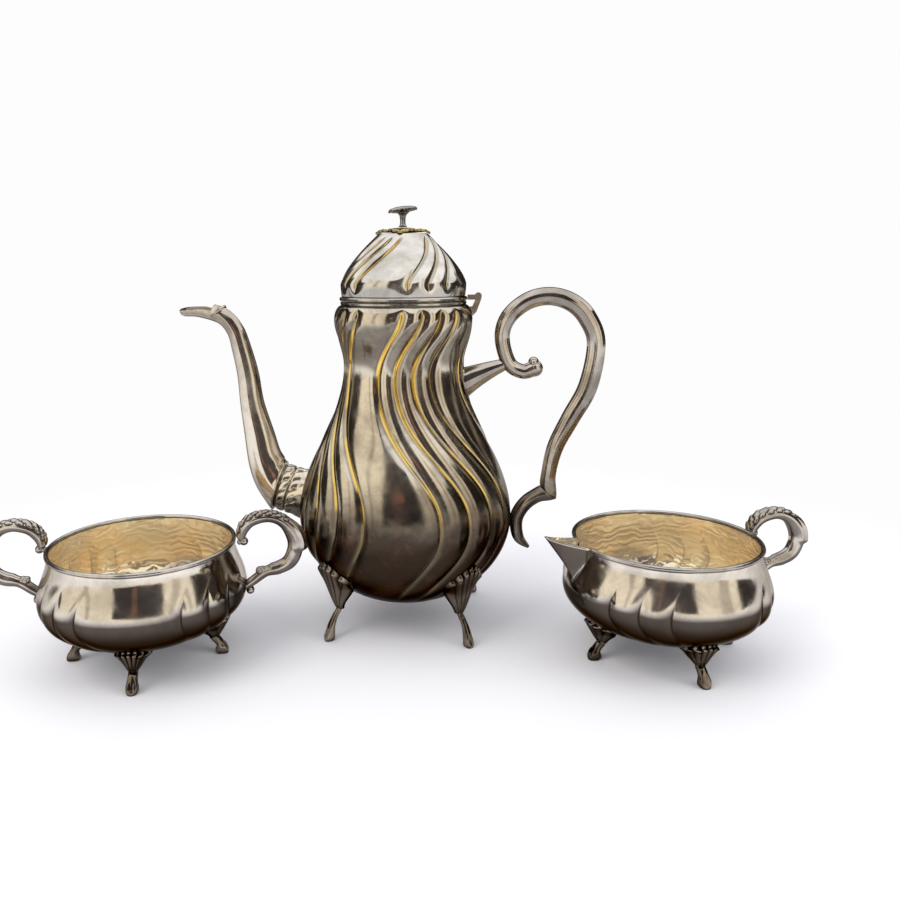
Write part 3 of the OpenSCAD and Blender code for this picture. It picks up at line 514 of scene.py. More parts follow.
def metal(name, light, dark, gold=0.0, line=(0.7, 1.7), shade=0.0, low=None, painted_dark_below=0.0,
          rough=(0.07, 0.26), dents=0.1, stain=0.4, crevice=0.0, waves=0.0, worn=None,
          edge=0.5, painted_horizon=0, metallic=1.0):
    """Old polished silver: bright and grey areas, patina where a cloth doesn't
    reach, and gilding left in the creases, edged by a painted shade line. In mm: line
    is how far from a crease that gilding is full and where it ends; low is the two
    heights that a darkening towards the bottom fades between and how far it wanders,
    and then its strength; that darkening is painted dark reflection and shade with a
    brown patina tint. worn is the centre and reach of a patch without gilding. shade
    is painted shade along the creases. The darkening of what faces down, and below a
    given height also of what stands upright, is painted shade and dark reflection."""
    mat = bpy.data.materials.new(name)
    g = Graph(mat)
    coord = g.node("ShaderNodeTexCoord")
    pos = coord.outputs["Object"]
    near = g.node("ShaderNodeAttribute", attribute_name="crease").outputs["Fac"]

    cloud = g.remap(g.noise(pos, 26, 5, 0.6, 0.8), 0.4, 0.64)
    fine = g.remap(g.noise(pos, 150, 6, 0.65), 0.45, 0.75)
    color = g.cover(g.mix(cloud, light, dark), dim(dark, 0.5), fine, stain * 0.6)
    roughness = g.remap(g.noise(pos, 60, 6, 0.7), 0.3, 0.75, *rough)
    normal = g.bump(g.noise(pos, 45, 2, 0.4), dents, 0.003)

    if worn:
        reach = worn[3] * MM
        far = g.node("ShaderNodeVectorMath", {0: pos, 1: dim(worn[:3], MM)},
                     operation="DISTANCE").outputs["Value"]
        bound = g.math("MULTIPLY_ADD", g.noise(pos, 60, 4), 16 * MM, far)
        color = g.mix(g.remap(bound, reach, reach + 8 * MM, 0.85, 0.0), color, BARE)
    if waves:
        band = g.node("ShaderNodeTexWave", {
            "Vector": pos, "Scale": 80, "Distortion": 18.0, "Detail": 3.0,
            "Detail Scale": 0.6, "Detail Roughness": 0.55},
            wave_type="BANDS", bands_direction="Z").outputs["Fac"]
        color = g.mix(g.remap(band, 0.5, 0.95, 0.0, 0.2), color, AMBER)
        normal = g.bump(band, waves, 0.0008, normal)
    if shade:
        color = g.cover(color, BROWN, g.remap(near, 0.15, 0.9, 1.0, 0.0), shade)
    painted_low_dark_and_patina = None
    # Darker towards the bottom, between heights given in mm: painted dark reflection and shade,
    # in a brown patina tint
    if low:
        bottom, top, wander, strength = low
        level = g.math("ADD", g.height(pos),
                       g.math("MULTIPLY", g.noise(pos, 20, 6, 0.65), wander * MM))
        painted_low_dark_and_patina = g.remap(level, bottom * MM, top * MM, 1.0, 0.0)
        low_dark_tint = g.mix(g.remap(g.noise(pos, 55, 5, 0.7), 0.44, 0.66), BROWN, LOW_DARK_WARM)
        color = g.cover(color, low_dark_tint, painted_low_dark_and_patina, strength)
        roughness = g.math("ADD", roughness, g.math("MULTIPLY", painted_low_dark_and_patina, 0.08))
    # Painted shade and dark reflection: on what faces down, and below a given height also on
    # what stands upright
    if painted_dark_below:
        up = g.height(coord.outputs["Normal"])
        if painted_horizon:
            painted_dark_sides = g.math("MULTIPLY", g.remap(up, 0.235, 0.05, 0.0, 0.92 * painted_dark_below),
                           g.remap(g.height(pos), painted_horizon * MM, (painted_horizon + 5) * MM, 1.0, 0.0))
        else:
            painted_dark_sides = g.remap(up, 0.03, -0.14, 0.0, 0.80 * painted_dark_below)
        painted_dark_undersides = g.remap(up, 0.12, -0.5, 0.0, 0.08 * painted_dark_below)
        color = g.mix(g.math("ADD", painted_dark_sides, painted_dark_undersides), color, BROWN)
    if gold:
        # A painted shade line along the gilding: darker silver just beyond where it ends
        color = g.mix(g.remap(near, line[1] * 0.9, line[1] * 1.8, 0.5, 0.0), color,
                      dim(dark, 0.22))
        lining = g.remap(near, line[0], line[1], 1.0, 0.0)
        patch = g.remap(g.noise(pos, 30, 3), 0.42, 0.56, 0.22, 1.0)
        if painted_low_dark_and_patina is not None:
            patch = g.math("MULTIPLY", patch, g.remap(painted_low_dark_and_patina, 0.3, 1.0, 1.0, 0.12))
        color = g.cover(color, GOLD, g.math("MULTIPLY", lining, patch), gold)
    if crevice:
        sharp = g.node("ShaderNodeNewGeometry").outputs["Pointiness"]
        color = g.cover(color, BROWN, g.remap(sharp, 0.42, 0.5, 1.0, 0.0), crevice)

    g.end("Material", g.node("ShaderNodeBsdfPrincipled", {
        "Metallic": metallic, "Specular Tint": (edge, edge * 0.95, edge * 0.9),
        "Base Color": color, "Roughness": roughness,
        "Normal": g.bump(g.noise(pos, 900, 3, 0.7), 0.05, 0.0003, normal)}).outputs[0])
    return mat


M_POT = metal("silver_pot", (0.78, 0.71, 0.59), (0.46, 0.405, 0.335), gold=0.95,
              line=(0.8, 1.8), low=(82, 128, 42, 0.96), painted_dark_below=0.8, edge=0.35)
M_LID = metal("silver_lid", (0.92, 0.885, 0.82), (0.62, 0.59, 0.535), gold=0.85,
              line=(0.5, 1.15), painted_dark_below=0.5, stain=0.6, edge=0.4)
M_BOWL = metal("silver_bowl", SILVER, GREY, shade=0.9, painted_dark_below=1.0, edge=0.45, painted_horizon=50)
M_LIP = metal("silver_lip", SILVER, GREY, painted_dark_below=1.0, edge=0.4)
M_CAST = metal("silver_cast", (0.66, 0.61, 0.55), (0.36, 0.325, 0.29), crevice=0.9,
               shade=0.85, rough=(0.12, 0.32), dents=0.15, painted_dark_below=0.85)
M_COLLAR = metal("silver_collar", (0.95, 0.87, 0.72), (0.55, 0.48, 0.38),
                 crevice=0.9, rough=(0.1, 0.3), dents=0.3, painted_dark_below=0.8,
                 low=(58, 88, 10, 0.8))
M_WIRE = metal("silver_wire", (0.70, 0.67, 0.63), (0.42, 0.40, 0.37),
               rough=(0.12, 0.3), dents=0.05, painted_dark_below=0.8)
M_HINGE = metal("silver_hinge", (0.95, 0.87, 0.70), (0.66, 0.58, 0.43),
                rough=(0.22, 0.4), dents=0.3, stain=0.2, edge=0.6, painted_dark_below=0.4)
# The feet's silver is far darker than the other pieces': painted shade and dark reflection low
# under the bellies
M_FOOT = metal("silver_foot", (0.34, 0.29, 0.235), (0.07, 0.055, 0.042), crevice=0.95,
               shade=0.95, rough=(0.06, 0.22), dents=0.15, painted_dark_below=0.7, edge=0.3)
M_SPOUT = metal("silver_spout", (0.88, 0.80, 0.69), (0.60, 0.535, 0.455),
                low=(54, 92, 16, 0.85), painted_dark_below=0.6, crevice=0.5, edge=0.3)
M_HANDLE = metal("silver_handle", (0.70, 0.645, 0.58), (0.40, 0.355, 0.305),
                 rough=(0.05, 0.2), dents=0.12, low=(70, 150, 34, 0.6), crevice=0.4,
                 painted_dark_below=0.6, edge=0.35)
M_LEAF = metal("silver_leaf", (0.72, 0.64, 0.50), (0.42, 0.34, 0.22), crevice=0.9,
               rough=(0.16, 0.36), dents=0.2, gold=0.8, line=(1.0, 2.2), painted_dark_below=0.5)
M_FINIAL = metal("silver_finial", (0.60, 0.59, 0.57), (0.30, 0.29, 0.28),
                 crevice=0.95, rough=(0.18, 0.4), dents=0.1, painted_dark_below=0.8)


def gilt(name, worn):
    return metal(name, (1.0, 0.92, 0.69), (1.0, 0.82, 0.54), rough=(0.04, 0.16),
                 dents=0.6, stain=0.02, waves=0.35, worn=worn, edge=0.9, metallic=0.72,
                 shade=0.3 if worn else 0.0)


M_GILT = gilt("gilt", None)
M_GILT_SUGAR = gilt("gilt_sugar", (SUGAR[0] + 6, SUGAR[1] + 46, 24, 22))
M_GILT_CREAMER = gilt("gilt_creamer", (CREAMER[0] - 8, CREAMER[1] + 46, 24, 22))

# ---------- vessels

def arc_profile(points, radius):
    return [(radius(z), z) for z in points]


def pot_profile():
    low = [BELLY_Z - (BELLY_Z - BASE_Z) * math.cos(math.radians(a))
           for a in np.linspace(8, 88, 34)]
    up = list(np.linspace(BELLY_Z, NECK_Z, 110))
    roll = [NECK_Z + (MOUTH_Z - NECK_Z) * math.sin(math.radians(a))
            for a in np.linspace(6, 82, 14)]
    return arc_profile(low + up + roll, pot_radius) + [(MOUTH_R, MOUTH_Z)]


POT_FLUTES = flute_pattern(start=-65.3, narrow=16.7, count=3, cuts=14, wide_cuts=26,
                           wide_power=5)
LID_FLUTES = flute_pattern(start=-80, narrow=19.2, count=2, cuts=14, wide_cuts=30)
BOWL_FLUTES = flute_pattern(start=-60, narrow=16.5, count=2, cuts=18, wide_cuts=34,
                            wide_power=6)

shell_mesh("pot_body_raised", pot_profile(), pot_turn, pot_depth, POT_FLUTES, POT, 0, "pot",
           M_POT, ["pot_body"])


def lid_piece():
    start = 0.2                   # clear of the flange
    roll = [DOME_Z + mix(start, LID_ROLL, t) for t in np.linspace(0, 1, 14)[:-1]]
    dome = list(np.linspace(DOME_Z + LID_ROLL, CROWN_Z, 60))
    profile = arc_profile(roll + dome, lid_radius)
    outer, crease = fluted(profile, lid_turn, lid_depth, LID_FLUTES)
    inner, _ = fluted(profile, lid_turn, lid_depth, LID_FLUTES, SHEET)
    inner[0, :, 2] = outer[0, :, 2]
    # The hole for the finial's stud
    th = np.radians(LID_FLUTES[0] + lid_turn(CROWN_Z))
    hole = np.array([around(STUD_R, th, z) for z in (CROWN_Z + SHEET, CROWN_Z)])
    rings = np.concatenate([outer, hole, inner[::-1]])
    crease = np.concatenate([crease, np.full((2, len(th)), NO_CREASE), crease[::-1]])
    new_object("lid_dome_raised", place(rings.reshape(-1, 3), POT),
               grid_faces(len(rings), len(th), loop_rings=True), "lid", M_LID,
               ["lid_dome"], crease)


lid_piece()


def bowl_profile():
    low = [BOWL_Z - (BOWL_Z - BOWL_BASE) * math.cos(math.radians(a)) ** (2 / BOWL_POWER)
           for a in np.linspace(10, 88, 34)]
    up = list(np.linspace(BOWL_Z, EDGE_Z, 40))
    return arc_profile(low + up, bowl_radius)


def bowl(name, axis, yaw, body, nodes, inside):
    ob, first_inside = shell_mesh(name, bowl_profile(), bowl_turn, bowl_depth, BOWL_FLUTES,
                                  axis, yaw, body, M_BOWL, nodes)
    paint_from(ob, first_inside, inside)
    return ob


LIP_W, LIP_REACH, LIP_RISE, LIP_FOOT = 9.6, 71.2, 5.7, 45.0
LIP_STEPS = 16
LIP_BACK, LIP_BACK_INSIDE, LIP_CUT_BACK = 48.4, 47.6, RIM_R - 7


def lip_solid(inset, back, top):
    """Rings of the lip's wedge, from the belly up, in the creamer's frame turned
    so that the lip points along +X. top is added to the height of the last ring."""
    rings = []
    for k in range(LIP_STEPS + 1):
        t = k / LIP_STEPS
        w = LIP_W * t ** 0.8 + 0.4 - inset
        z = mix(LIP_FOOT, RIM_Z + RIM_WIRE * 0.8, t)
        front = mix(bowl_radius(LIP_FOOT) - 1, LIP_REACH, t ** 1.4) - inset * 1.3
        add = top if k == LIP_STEPS else 0
        ring = []
        for s in np.linspace(-1, 1, LIP_STEPS + 1):
            a = abs(s)
            ring.append((mix(front, back, a ** 1.25), math.copysign(w * a ** 0.9, s),
                         z + t * t * LIP_RISE * (1 - a) ** 1.1 + add))
        rings.append(ring)
    return np.array(rings)


bowl("sugar_body_raised", SUGAR, SUGAR_YAW, "sugar_bowl", ["sugar_body"], M_GILT_SUGAR)
creamer_wall = bowl("creamer_body_raised", CREAMER, CREAMER_YAW, "creamer",
                    ["creamer_body"], M_GILT_CREAMER)
verts, faces = solid(lip_solid(SHEET, LIP_CUT_BACK, 2.0))
cut_away(creamer_wall, place(verts, CREAMER, CREAMER_YAW + 180), faces)


def keep_outside(rings, inset=0.0):
    """Pulls the lip's sheet back to the wall where it would run inside the bowl."""
    out = rings.copy()
    for p in out.reshape(-1, 3):
        wall = bowl_radius(min(p[2], EDGE_Z)) + 0.15 - inset
        if math.hypot(p[0], p[1]) < wall:
            p[0] = math.sqrt(wall * wall - p[1] * p[1])
    return out


def creamer_lip():
    """The lip's sheet, open above and behind."""
    outer = keep_outside(lip_solid(0.0, LIP_BACK, 0.0))
    inner = keep_outside(lip_solid(SHEET, LIP_BACK_INSIDE, 0.0), SHEET)
    verts, faces = two_skins(outer, inner)
    ob = new_object("creamer_lip_sheet", place(verts, CREAMER, CREAMER_YAW + 180), faces,
                    "creamer", M_LIP, ["creamer_lip"],
                    np.full(len(verts), NO_CREASE))
    paint_from(ob, len(verts) // 2, M_GILT)


creamer_lip()

# ---------- spout

COLLAR_Z, COLLAR_L, COLLAR_SUNK = 73.5, 14.5, 1.6
ROOT_X, ROOT_Z, ROOT_H = BELLY_R + COLLAR_L, COLLAR_Z + COLLAR_L / 2, 15.6
SPOUT_X, SPOUT_Z = 137.0, 189.4
SPOUT_DIR = unit([2, 0.6])
NIB_X = 113.4
SPOUT_FLATS, FLATNESS = 8, 0.45
TO_SPOUT_SIDE = np.array([-1, 1, 1])    # the spout is drawn along +X and points along -X
SPOUT_STATIONS = [
    [0, 0, 1, 0.86], [0.08, 0.066, 0.84, 0.79], [0.147, 0.165, 0.69, 0.68],
    [0.197, 0.295, 0.6, 0.59], [0.264, 0.47, 0.48, 0.49], [0.3, 0.637, 0.43, 0.44],
    [0.357, 0.775, 0.39, 0.39], [0.422, 0.886, 0.35, 0.35], [0.55, 0.965, 0.335, 0.33],
    [0.79, 1.002, 0.3, 0.3], [0.96, 0.995, 0.21, 0.22], [1, 0.989, 0.13, 0.14]]


def spout_line(q):
    return route(SPOUT_STATIONS, q, (ROOT_X, SPOUT_X), (ROOT_Z, SPOUT_Z), ROOT_H)


def facets(w, n, turn):
    """Section of a rounded prism with n faces, 1 on its ridges; a ridge lies at
    the angle turn."""
    u = ((w - turn) * n / (2 * np.pi)) % 1
    return math.cos(math.pi / n) / np.cos(np.abs(u - 0.5) * 2 * np.pi / n)


def spout_section(w, s, row):
    """Eight soft flats, and a raised edge across the top where the beak opens."""
    fade = ramp(0.0, 0.05, s) * (1 - ramp(0.86, 0.97, s))
    flats = mix(1.0, facets(w, SPOUT_FLATS, math.pi / 2), FLATNESS * fade) + 0.012 * fade
    a = np.minimum(w, 2 * np.pi - w)
    nib = 0.32 * np.exp(-((row[0] - NIB_X + 1.3 - 3.2 * (1 - np.cos(a))) / 0.8) ** 2)
    return flats + nib * np.exp(-(a / 1.6) ** 4)


def hollow_section(w, s, row):
    return mix(1.0, facets(w, SPOUT_FLATS, math.pi / 2), FLATNESS * ramp(0.0, 0.05, s))


def beak_cutter():
    """Prism that opens the beak, cut deeper on the side next to the creamer."""
    edge = [(NIB_X + 0.6, SPOUT_Z + 8), (NIB_X + 3.8, SPOUT_Z - 0.4),
            (NIB_X + 9, SPOUT_Z + 0.9), (SPOUT_X - 4, SPOUT_Z + 1.1),
            (SPOUT_X + 3, SPOUT_Z + 0.2), (SPOUT_X + 3, SPOUT_Z + 14),
            (NIB_X + 0.3, SPOUT_Z + 14)]
    verts = [(-x, y, z + 0.3 * y) for y in (-12, 12) for x, z in edge]
    n = len(edge)
    faces = [tuple(range(n)), tuple(range(2 * n - 1, n - 1, -1))]
    faces += [(i, i + n, (i + 1) % n + n, (i + 1) % n) for i in range(n)]
    return place(verts, POT), faces


def spout_piece():
    q = 24
    line = spout_line(q)
    outer = tube(line, 96, spout_section, dir0=SPOUT_DIR, swing=2 * q)
    inner = tube(line[:-q], 96, hollow_section, dir0=SPOUT_DIR, shrink=SHEET,
                 swing=2 * q)
    rings = np.concatenate([outer, inner[::-1]])
    n, k = rings.shape[:2]
    # Outside from root to nose, then the inside from the nose back to the root
    faces = grid_faces(len(outer), k) + grid_faces(len(inner), k, start=len(outer) * k)
    last = (n - 1) * k
    faces += [(last + j, last + (j + 1) % k, (j + 1) % k, j) for j in range(k)]
    faces += [cap((len(outer) - 1) * k, k), cap(len(outer) * k, k)]
    ob = new_object("spout_raised", place(rings.reshape(-1, 3) * TO_SPOUT_SIDE, POT), faces,
                    "pot", M_SPOUT, ["spout"])
    cut_away(ob, *beak_cutter())


spout_piece()


def spout_collar():
    """Collar of soft lobed bands: shares of its length inwards from the spout, how
    far it stands out from the spout's root, and how deep its lobes are."""
    end = spout_line(2)[0]
    bands = [[1.62, 0.6, 0], [1.0, -0.5, 0.4], [0.86, -0.8, 1], [0.66, -0.75, 1],
             [0.58, -1.1, 1], [0.53, -2.1, 0], [0.48, -1.2, 0], [0.40, -0.85, 1],
             [0.26, -0.9, 1], [0.17, -1.2, 1], [0.12, -2.2, 0], [0.08, -0.9, 0],
             [0.05, 0.15, 0], [0.014, 0.15, 0]]
    fine = resample(bands, 6)
    prof = np.array([[ROOT_X - SPOUT_DIR[0] * q * COLLAR_L, ROOT_Z - SPOUT_DIR[1] * q * COLLAR_L,
                      end[2] + e, end[3] + e, c, q] for q, e, c in fine])

    def lobes(w, s, row):
        turn = 0.35 if row[5] > 0.53 else 0.0
        cutting = np.abs(np.cos(6 * (w + turn) + 5 * row[5])) ** 0.55
        return 1 - 0.075 * float(np.clip(row[4], 0, 1)) * (1 - cutting)

    outer = tube(prof, 240, lobes, dir0=SPOUT_DIR, dir1=SPOUT_DIR)
    inner = tube(prof[[0, -1]], 240, dir0=SPOUT_DIR, dir1=SPOUT_DIR, shrink=SHEET + 2.5)
    rings = np.concatenate([outer, inner[::-1]])
    faces = grid_faces(*rings.shape[:2], loop_rings=True)
    verts = rings.reshape(-1, 3) * TO_SPOUT_SIDE
    # The collar's root follows the belly and is sunk in it
    for p in verts:
        wall = pot_radius(p[2]) - COLLAR_SUNK
        if math.hypot(p[0], p[1]) < wall:
            p[0] = -math.sqrt(max(wall * wall - p[1] * p[1], 0))
    new_object("spout_collar_ringed", place(verts, POT), faces, "pot",
               M_COLLAR, ["spout_collar"])


spout_collar()

# ---------- pot handle

HANDLE_T = 5.0
HANDLE_IN, HANDLE_OUT = 57.0, 117.6 - HANDLE_T
HANDLE_LOW, HANDLE_TOP = 80.5, 202.4 - HANDLE_T
MITRE = (-0.62, -0.78)
HANDLE_STATIONS = [
    [0.358, 0.636, 0.95, 0.95], [0.236, 0.619, 0.9, 1], [0.095, 0.661, 0.9, 1],
    [0.02, 0.789, 0.92, 1], [0.086, 0.893, 1, 1], [0.284, 0.972, 1.06, 1],
    [0.513, 0.995, 1.1, 1], [0.736, 0.963, 1.12, 1], [0.896, 0.887, 1.14, 1.02],
    [0.991, 0.76, 1.1, 1.02], [0.917, 0.547, 1.16, 1.04], [0.741, 0.382, 1.12, 1],
    [0.59, 0.234, 1, 0.96], [0.523, 0.088, 0.92, 0.92], [0.527, 0, 1.22, 1.1]]


def handle_line(q):
    return route(HANDLE_STATIONS, q, (HANDLE_IN, HANDLE_OUT), (HANDLE_LOW, HANDLE_TOP),
                 HANDLE_T)


def reeded(w, s, row):
    """Handle section: six soft faces with a fine ridge between them."""
    u = (w * 3 / np.pi) % 1
    ridge = np.exp(-((u - 0.5) * np.pi / 3 / 0.10) ** 2)
    plain = ramp(0.015, 0.07, s)
    return mix(0.98, mix(1.0, facets(w, 6, math.pi / 2), 0.2) + 0.025 * ridge - 0.01, plain)


def pot_handle():
    q = 12
    line = handle_line(q)
    x, z, _, half = line[0]
    verts, faces, _ = join([
        solid(tube(line, 144, reeded, dir1=MITRE, swing1=q)),
        eye_ball(x + 0.2, z - 0.1, HANDLE_T * 0.98, half * 0.99),
        eye_ball(x - 0.4, z + 3.6, HANDLE_T * 0.62, half * 0.95)])
    new_object("pot_handle_scroll", place(verts, POT), faces, "pot", M_HANDLE,
               ["pot_handle"])


pot_handle()


def handle_joint(name, node, line, **ends):
    """One of the castings between the handle and the body."""
    verts, faces = solid(tube(line, 144, reeded, **ends))
    new_object(name, place(body_clip(verts, pot_radius), POT), faces, "pot",
               M_HANDLE, [node])


def upper_socket():
    line = route([[0, 0, 2.1, 1.7], [0.36, 0.4, 1.5, 1.25], [0.68, 0.72, 1.08, 0.95],
                  [1, 1, 0.72, 0.7]], 10,
                 (WAIST_R - HANDLE_T, HANDLE_IN + HANDLE_T / 2),
                 (WAIST_Z - 2.6 * HANDLE_T, WAIST_Z), HANDLE_T)
    handle_joint("handle_upper_stub", "handle_upper_socket", line)


upper_socket()


def lower_scroll():
    q = 12
    x, z = handle_line(q)[-1][:2]
    line = route([[0, 0, 1.22, 1.1], [0.346, 0.127, 0.9, 0.95], [0.736, 0.486, 0.88, 0.86],
                  [1, 1, 0.86, 0.76], [1.05, 1.5, 0.78, 0.68], [0.945, 2.05, 0.66, 0.56],
                  [0.626, 2.44, 0.2, 0.24]], q,
                 (x + MITRE[0] * 0.2, BELLY_R + 0.85 * HANDLE_T),
                 (z + MITRE[1] * 0.2, BELLY_Z + 0.3), HANDLE_T)
    handle_joint("handle_lower_curl", "handle_lower_socket", line, dir0=MITRE, swing=q)


lower_scroll()

# ---------- bowl handles

EAR_T, EAR_LOW = 3.6, 38.0
EAR_STATIONS = [
    [0.109, 0.697, 0.62, 0.75], [0.153, 0.835, 0.88, 0.9], [0.299, 0.952, 0.9, 1],
    [0.555, 0.997, 0.86, 1], [0.776, 0.935, 0.92, 1], [0.922, 0.795, 1.14, 1.05],
    [0.994, 0.589, 1.25, 1.05], [0.91, 0.366, 1.22, 1], [0.713, 0.251, 0.97, 0.95],
    [0.502, 0.208, 0.81, 0.85], [0.287, 0.083, 0.75, 0.8], [0.14, 0.005, 0.61, 0.75]]
SUGAR_EAR, CREAMER_EAR = (87.7, 80.9), (87.8, 77.4)    # reach from the axis, and top

CREST_LOBES, CREST_LARGEST = 15, 6
CREST_START, CREST_STEP = 0.05, 0.0255
# How far out a lobe sits and its place to the side, as shares of the handle's half
# thickness and half width, its half length in mm, its half width as a share, and its
# height in mm
RIDGE_LOBE = (0.88, (0.0,), 3.1, 0.66, 1.35)
SIDE_LOBES = (0.66, (-0.60, 0.60), 2.7, 0.45, 1.5)
# Distance from the axis, height, radius and half width: the knobs where the handle
# leaves the rim, and the eyes of its scroll, placed by shares as EAR_STATIONS are
RIM_KNOBS = ((54.7, 64.2, 2.35, 2.6), (52.4, 63.9, 1.6, 2.1))
SCROLL_EYES = ((0.395, 0.225, 2.2, 3.0), (0.445, 0.235, 2.0, 2.8),
               (0.235, -0.05, 2.3, 2.7))


def ear_ranges(reach, top):
    return (RIM_R, reach - 1.25 * EAR_T), (EAR_LOW, top - 0.86 * EAR_T)


def leaf_lobe(at, along, out, y, size, half_w, height):
    """One turned-over lobe of the leaf crest: a blob that leans forwards."""
    points, faces = ball(3)
    verts, depth = [], []
    for x, side, z in points:
        # depth becomes the crease value, low where the lobe meets the handle, so painted shade
        # darkens each lobe's base
        depth.append(max(0.0, 0.3 + z * 1.1))
        up = z * height * (1 + 0.35 * x) + 0.25 * x * height
        verts.append((at[0] + along[0] * x * size + out[0] * up, y + side * half_w,
                      at[1] + along[1] * x * size + out[1] * up))
    return verts, faces, depth


def ear_section(w, s, row):
    """Ribs all round, a leaf sheath on the outside of the bow and a swelling low on
    its inside."""
    outside = np.exp(-((np.minimum(w, 2 * np.pi - w)) / 1.25) ** 2)
    inside = np.exp(-((w - np.pi) / 1.1) ** 2)
    sheath = 0.42 * ramp(0.34, 0.50, s) * (1 - ramp(0.56, 0.58, s))
    low = 0.24 * ramp(0.66, 0.76, s) * (1 - ramp(0.775, 0.80, s))
    veins = 1 + 0.30 * np.cos(9 * w)
    rib = 0.04 * (np.abs(np.sin(3 * w)) - 0.5)
    return 0.98 + rib + sheath * outside * veins + low * inside


def crest(line):
    """Leaf crest along the outer edge, from the rim over the top: lobes on the ridge,
    in turn with pairs beside it."""
    n = len(line)
    lobes = []
    for i in range(CREST_LOBES):
        k = (CREST_START + CREST_STEP * i) * (n - 1)
        j = int(k)
        after = line[min(j + 1, n - 1)]
        p = line[j] + (after - line[j]) * (k - j)
        along = unit(after[:2] - line[max(j - 1, 0)][:2])
        out = (-along[1], along[0])
        small = 1 - 0.3 * abs(i - CREST_LARGEST) / 9
        lift, sides, size, half_w, height = SIDE_LOBES if i % 2 else RIDGE_LOBE
        at = (p[0] + out[0] * p[2] * lift, p[1] + out[1] * p[2] * lift)
        for side in sides:
            lobes.append(leaf_lobe(at, along, out, side * p[3], size * small,
                                   p[3] * half_w, height * small))
    return lobes


def bowl_handle(name, axis, yaw, body, node, reach, top):
    xs, zs = ear_ranges(reach, top)
    line = route(EAR_STATIONS, 14, xs, zs, EAR_T)
    parts = [solid(tube(line, 56, ear_section))] + crest(line)
    parts += [eye_ball(*knob) for knob in RIM_KNOBS]
    parts += [eye_ball(mix(*xs, x), mix(*zs, z), r, half) for x, z, r, half in SCROLL_EYES]
    verts, faces, crease = join(parts)
    # Nothing reaches inside the rim's wire
    clear = RIM_R + 1.1
    for p in verts:
        r = math.hypot(p[0], p[1])
        if r <= clear and p[2] >= RIM_Z - 2.8:
            p[:2] *= clear / r
    new_object(name, place(body_clip(verts, bowl_radius), axis, yaw), faces, body,
               M_CAST, [node], crease)


for side, yaw in (("right", SUGAR_YAW), ("left", SUGAR_YAW + 180)):
    bowl_handle("sugar_ear_" + side, SUGAR, yaw, "sugar_bowl", "sugar_handle_" + side,
                *SUGAR_EAR)
bowl_handle("creamer_ear", CREAMER, CREAMER_YAW, "creamer", "creamer_handle", *CREAMER_EAR)

# ---------- feet

PAD_H, FAN_T = 3.0, 1.6
FAN_RIBS, FAN_COLS, FAN_ROWS = 7, 112, 30
LOWEST_WALL_Z = 15.0          # a little above the vessels' bottoms
POT_FOOT = {"toe_r": 56.5, "pad_l": 7.5, "pad_w": 5.8, "leg_t": 1.5, "ankle_r": 49.7,
            "ankle_z": 18.0, "top_z": 48.0, "half_w": 14.0}
BOWL_FOOT = {"toe_r": 40.5, "pad_l": 8.6, "pad_w": 7.0, "leg_t": 2.1, "ankle_r": 36.5,
             "ankle_z": 9.5, "top_z": 24.0, "half_w": 10.8}


def foot_leg(toe_r, pad_l, pad_w, leg_t, ankle_r, ankle_z, top_r, top_z, half_w):
    leg = resample([
        [toe_r, 0, pad_l * 0.36, pad_w * 0.34],
        [toe_r + 0.2, PAD_H * 0.4, pad_l * 0.47, pad_w * 0.46],
        [toe_r - 0.1, PAD_H * 1.15, pad_l * 0.42, pad_w * 0.48],
        [mix(ankle_r, toe_r, 0.8), mix(PAD_H, ankle_z, 0.38), pad_l * 0.3, pad_w * 0.42],
        [mix(ankle_r, toe_r, 0.45), mix(PAD_H, ankle_z, 0.7), leg_t * 1.15, leg_t * 1.25],
        [ankle_r, ankle_z, leg_t * 1.1, leg_t * 1.2],
        [mix(ankle_r, top_r, 0.1), mix(ankle_z, top_z, 0.22), leg_t * 1.3, half_w * 0.22],
        [mix(ankle_r, top_r, 0.3), mix(ankle_z, top_z, 0.45), leg_t * 0.9, half_w * 0.26]], 8)
    leg[:, 1] = np.maximum(leg[:, 1], 0)

    def toe(w, s, row):
        """An oval hollow with a raised rim on the outside of the toe, and flutes
        up the leg."""
        away = np.abs(w - np.pi)
        size = math.exp(-((row[1] - 3.3) / 2.5) ** 4)
        hollow = -0.20 * np.exp(-(away / 0.5) ** 4) * size
        rim = 0.06 * np.exp(-((away - 0.8) / 0.22) ** 2) * size
        flute = 0.12 * (np.abs(np.cos(3 * (w - np.pi))) - 0.5)
        flute *= ramp(ankle_z * 0.6, ankle_z, row[1])
        return 0.97 + hollow + rim + flute

    return solid(tube(leg, 48, toe, dir0=(0, 1)))


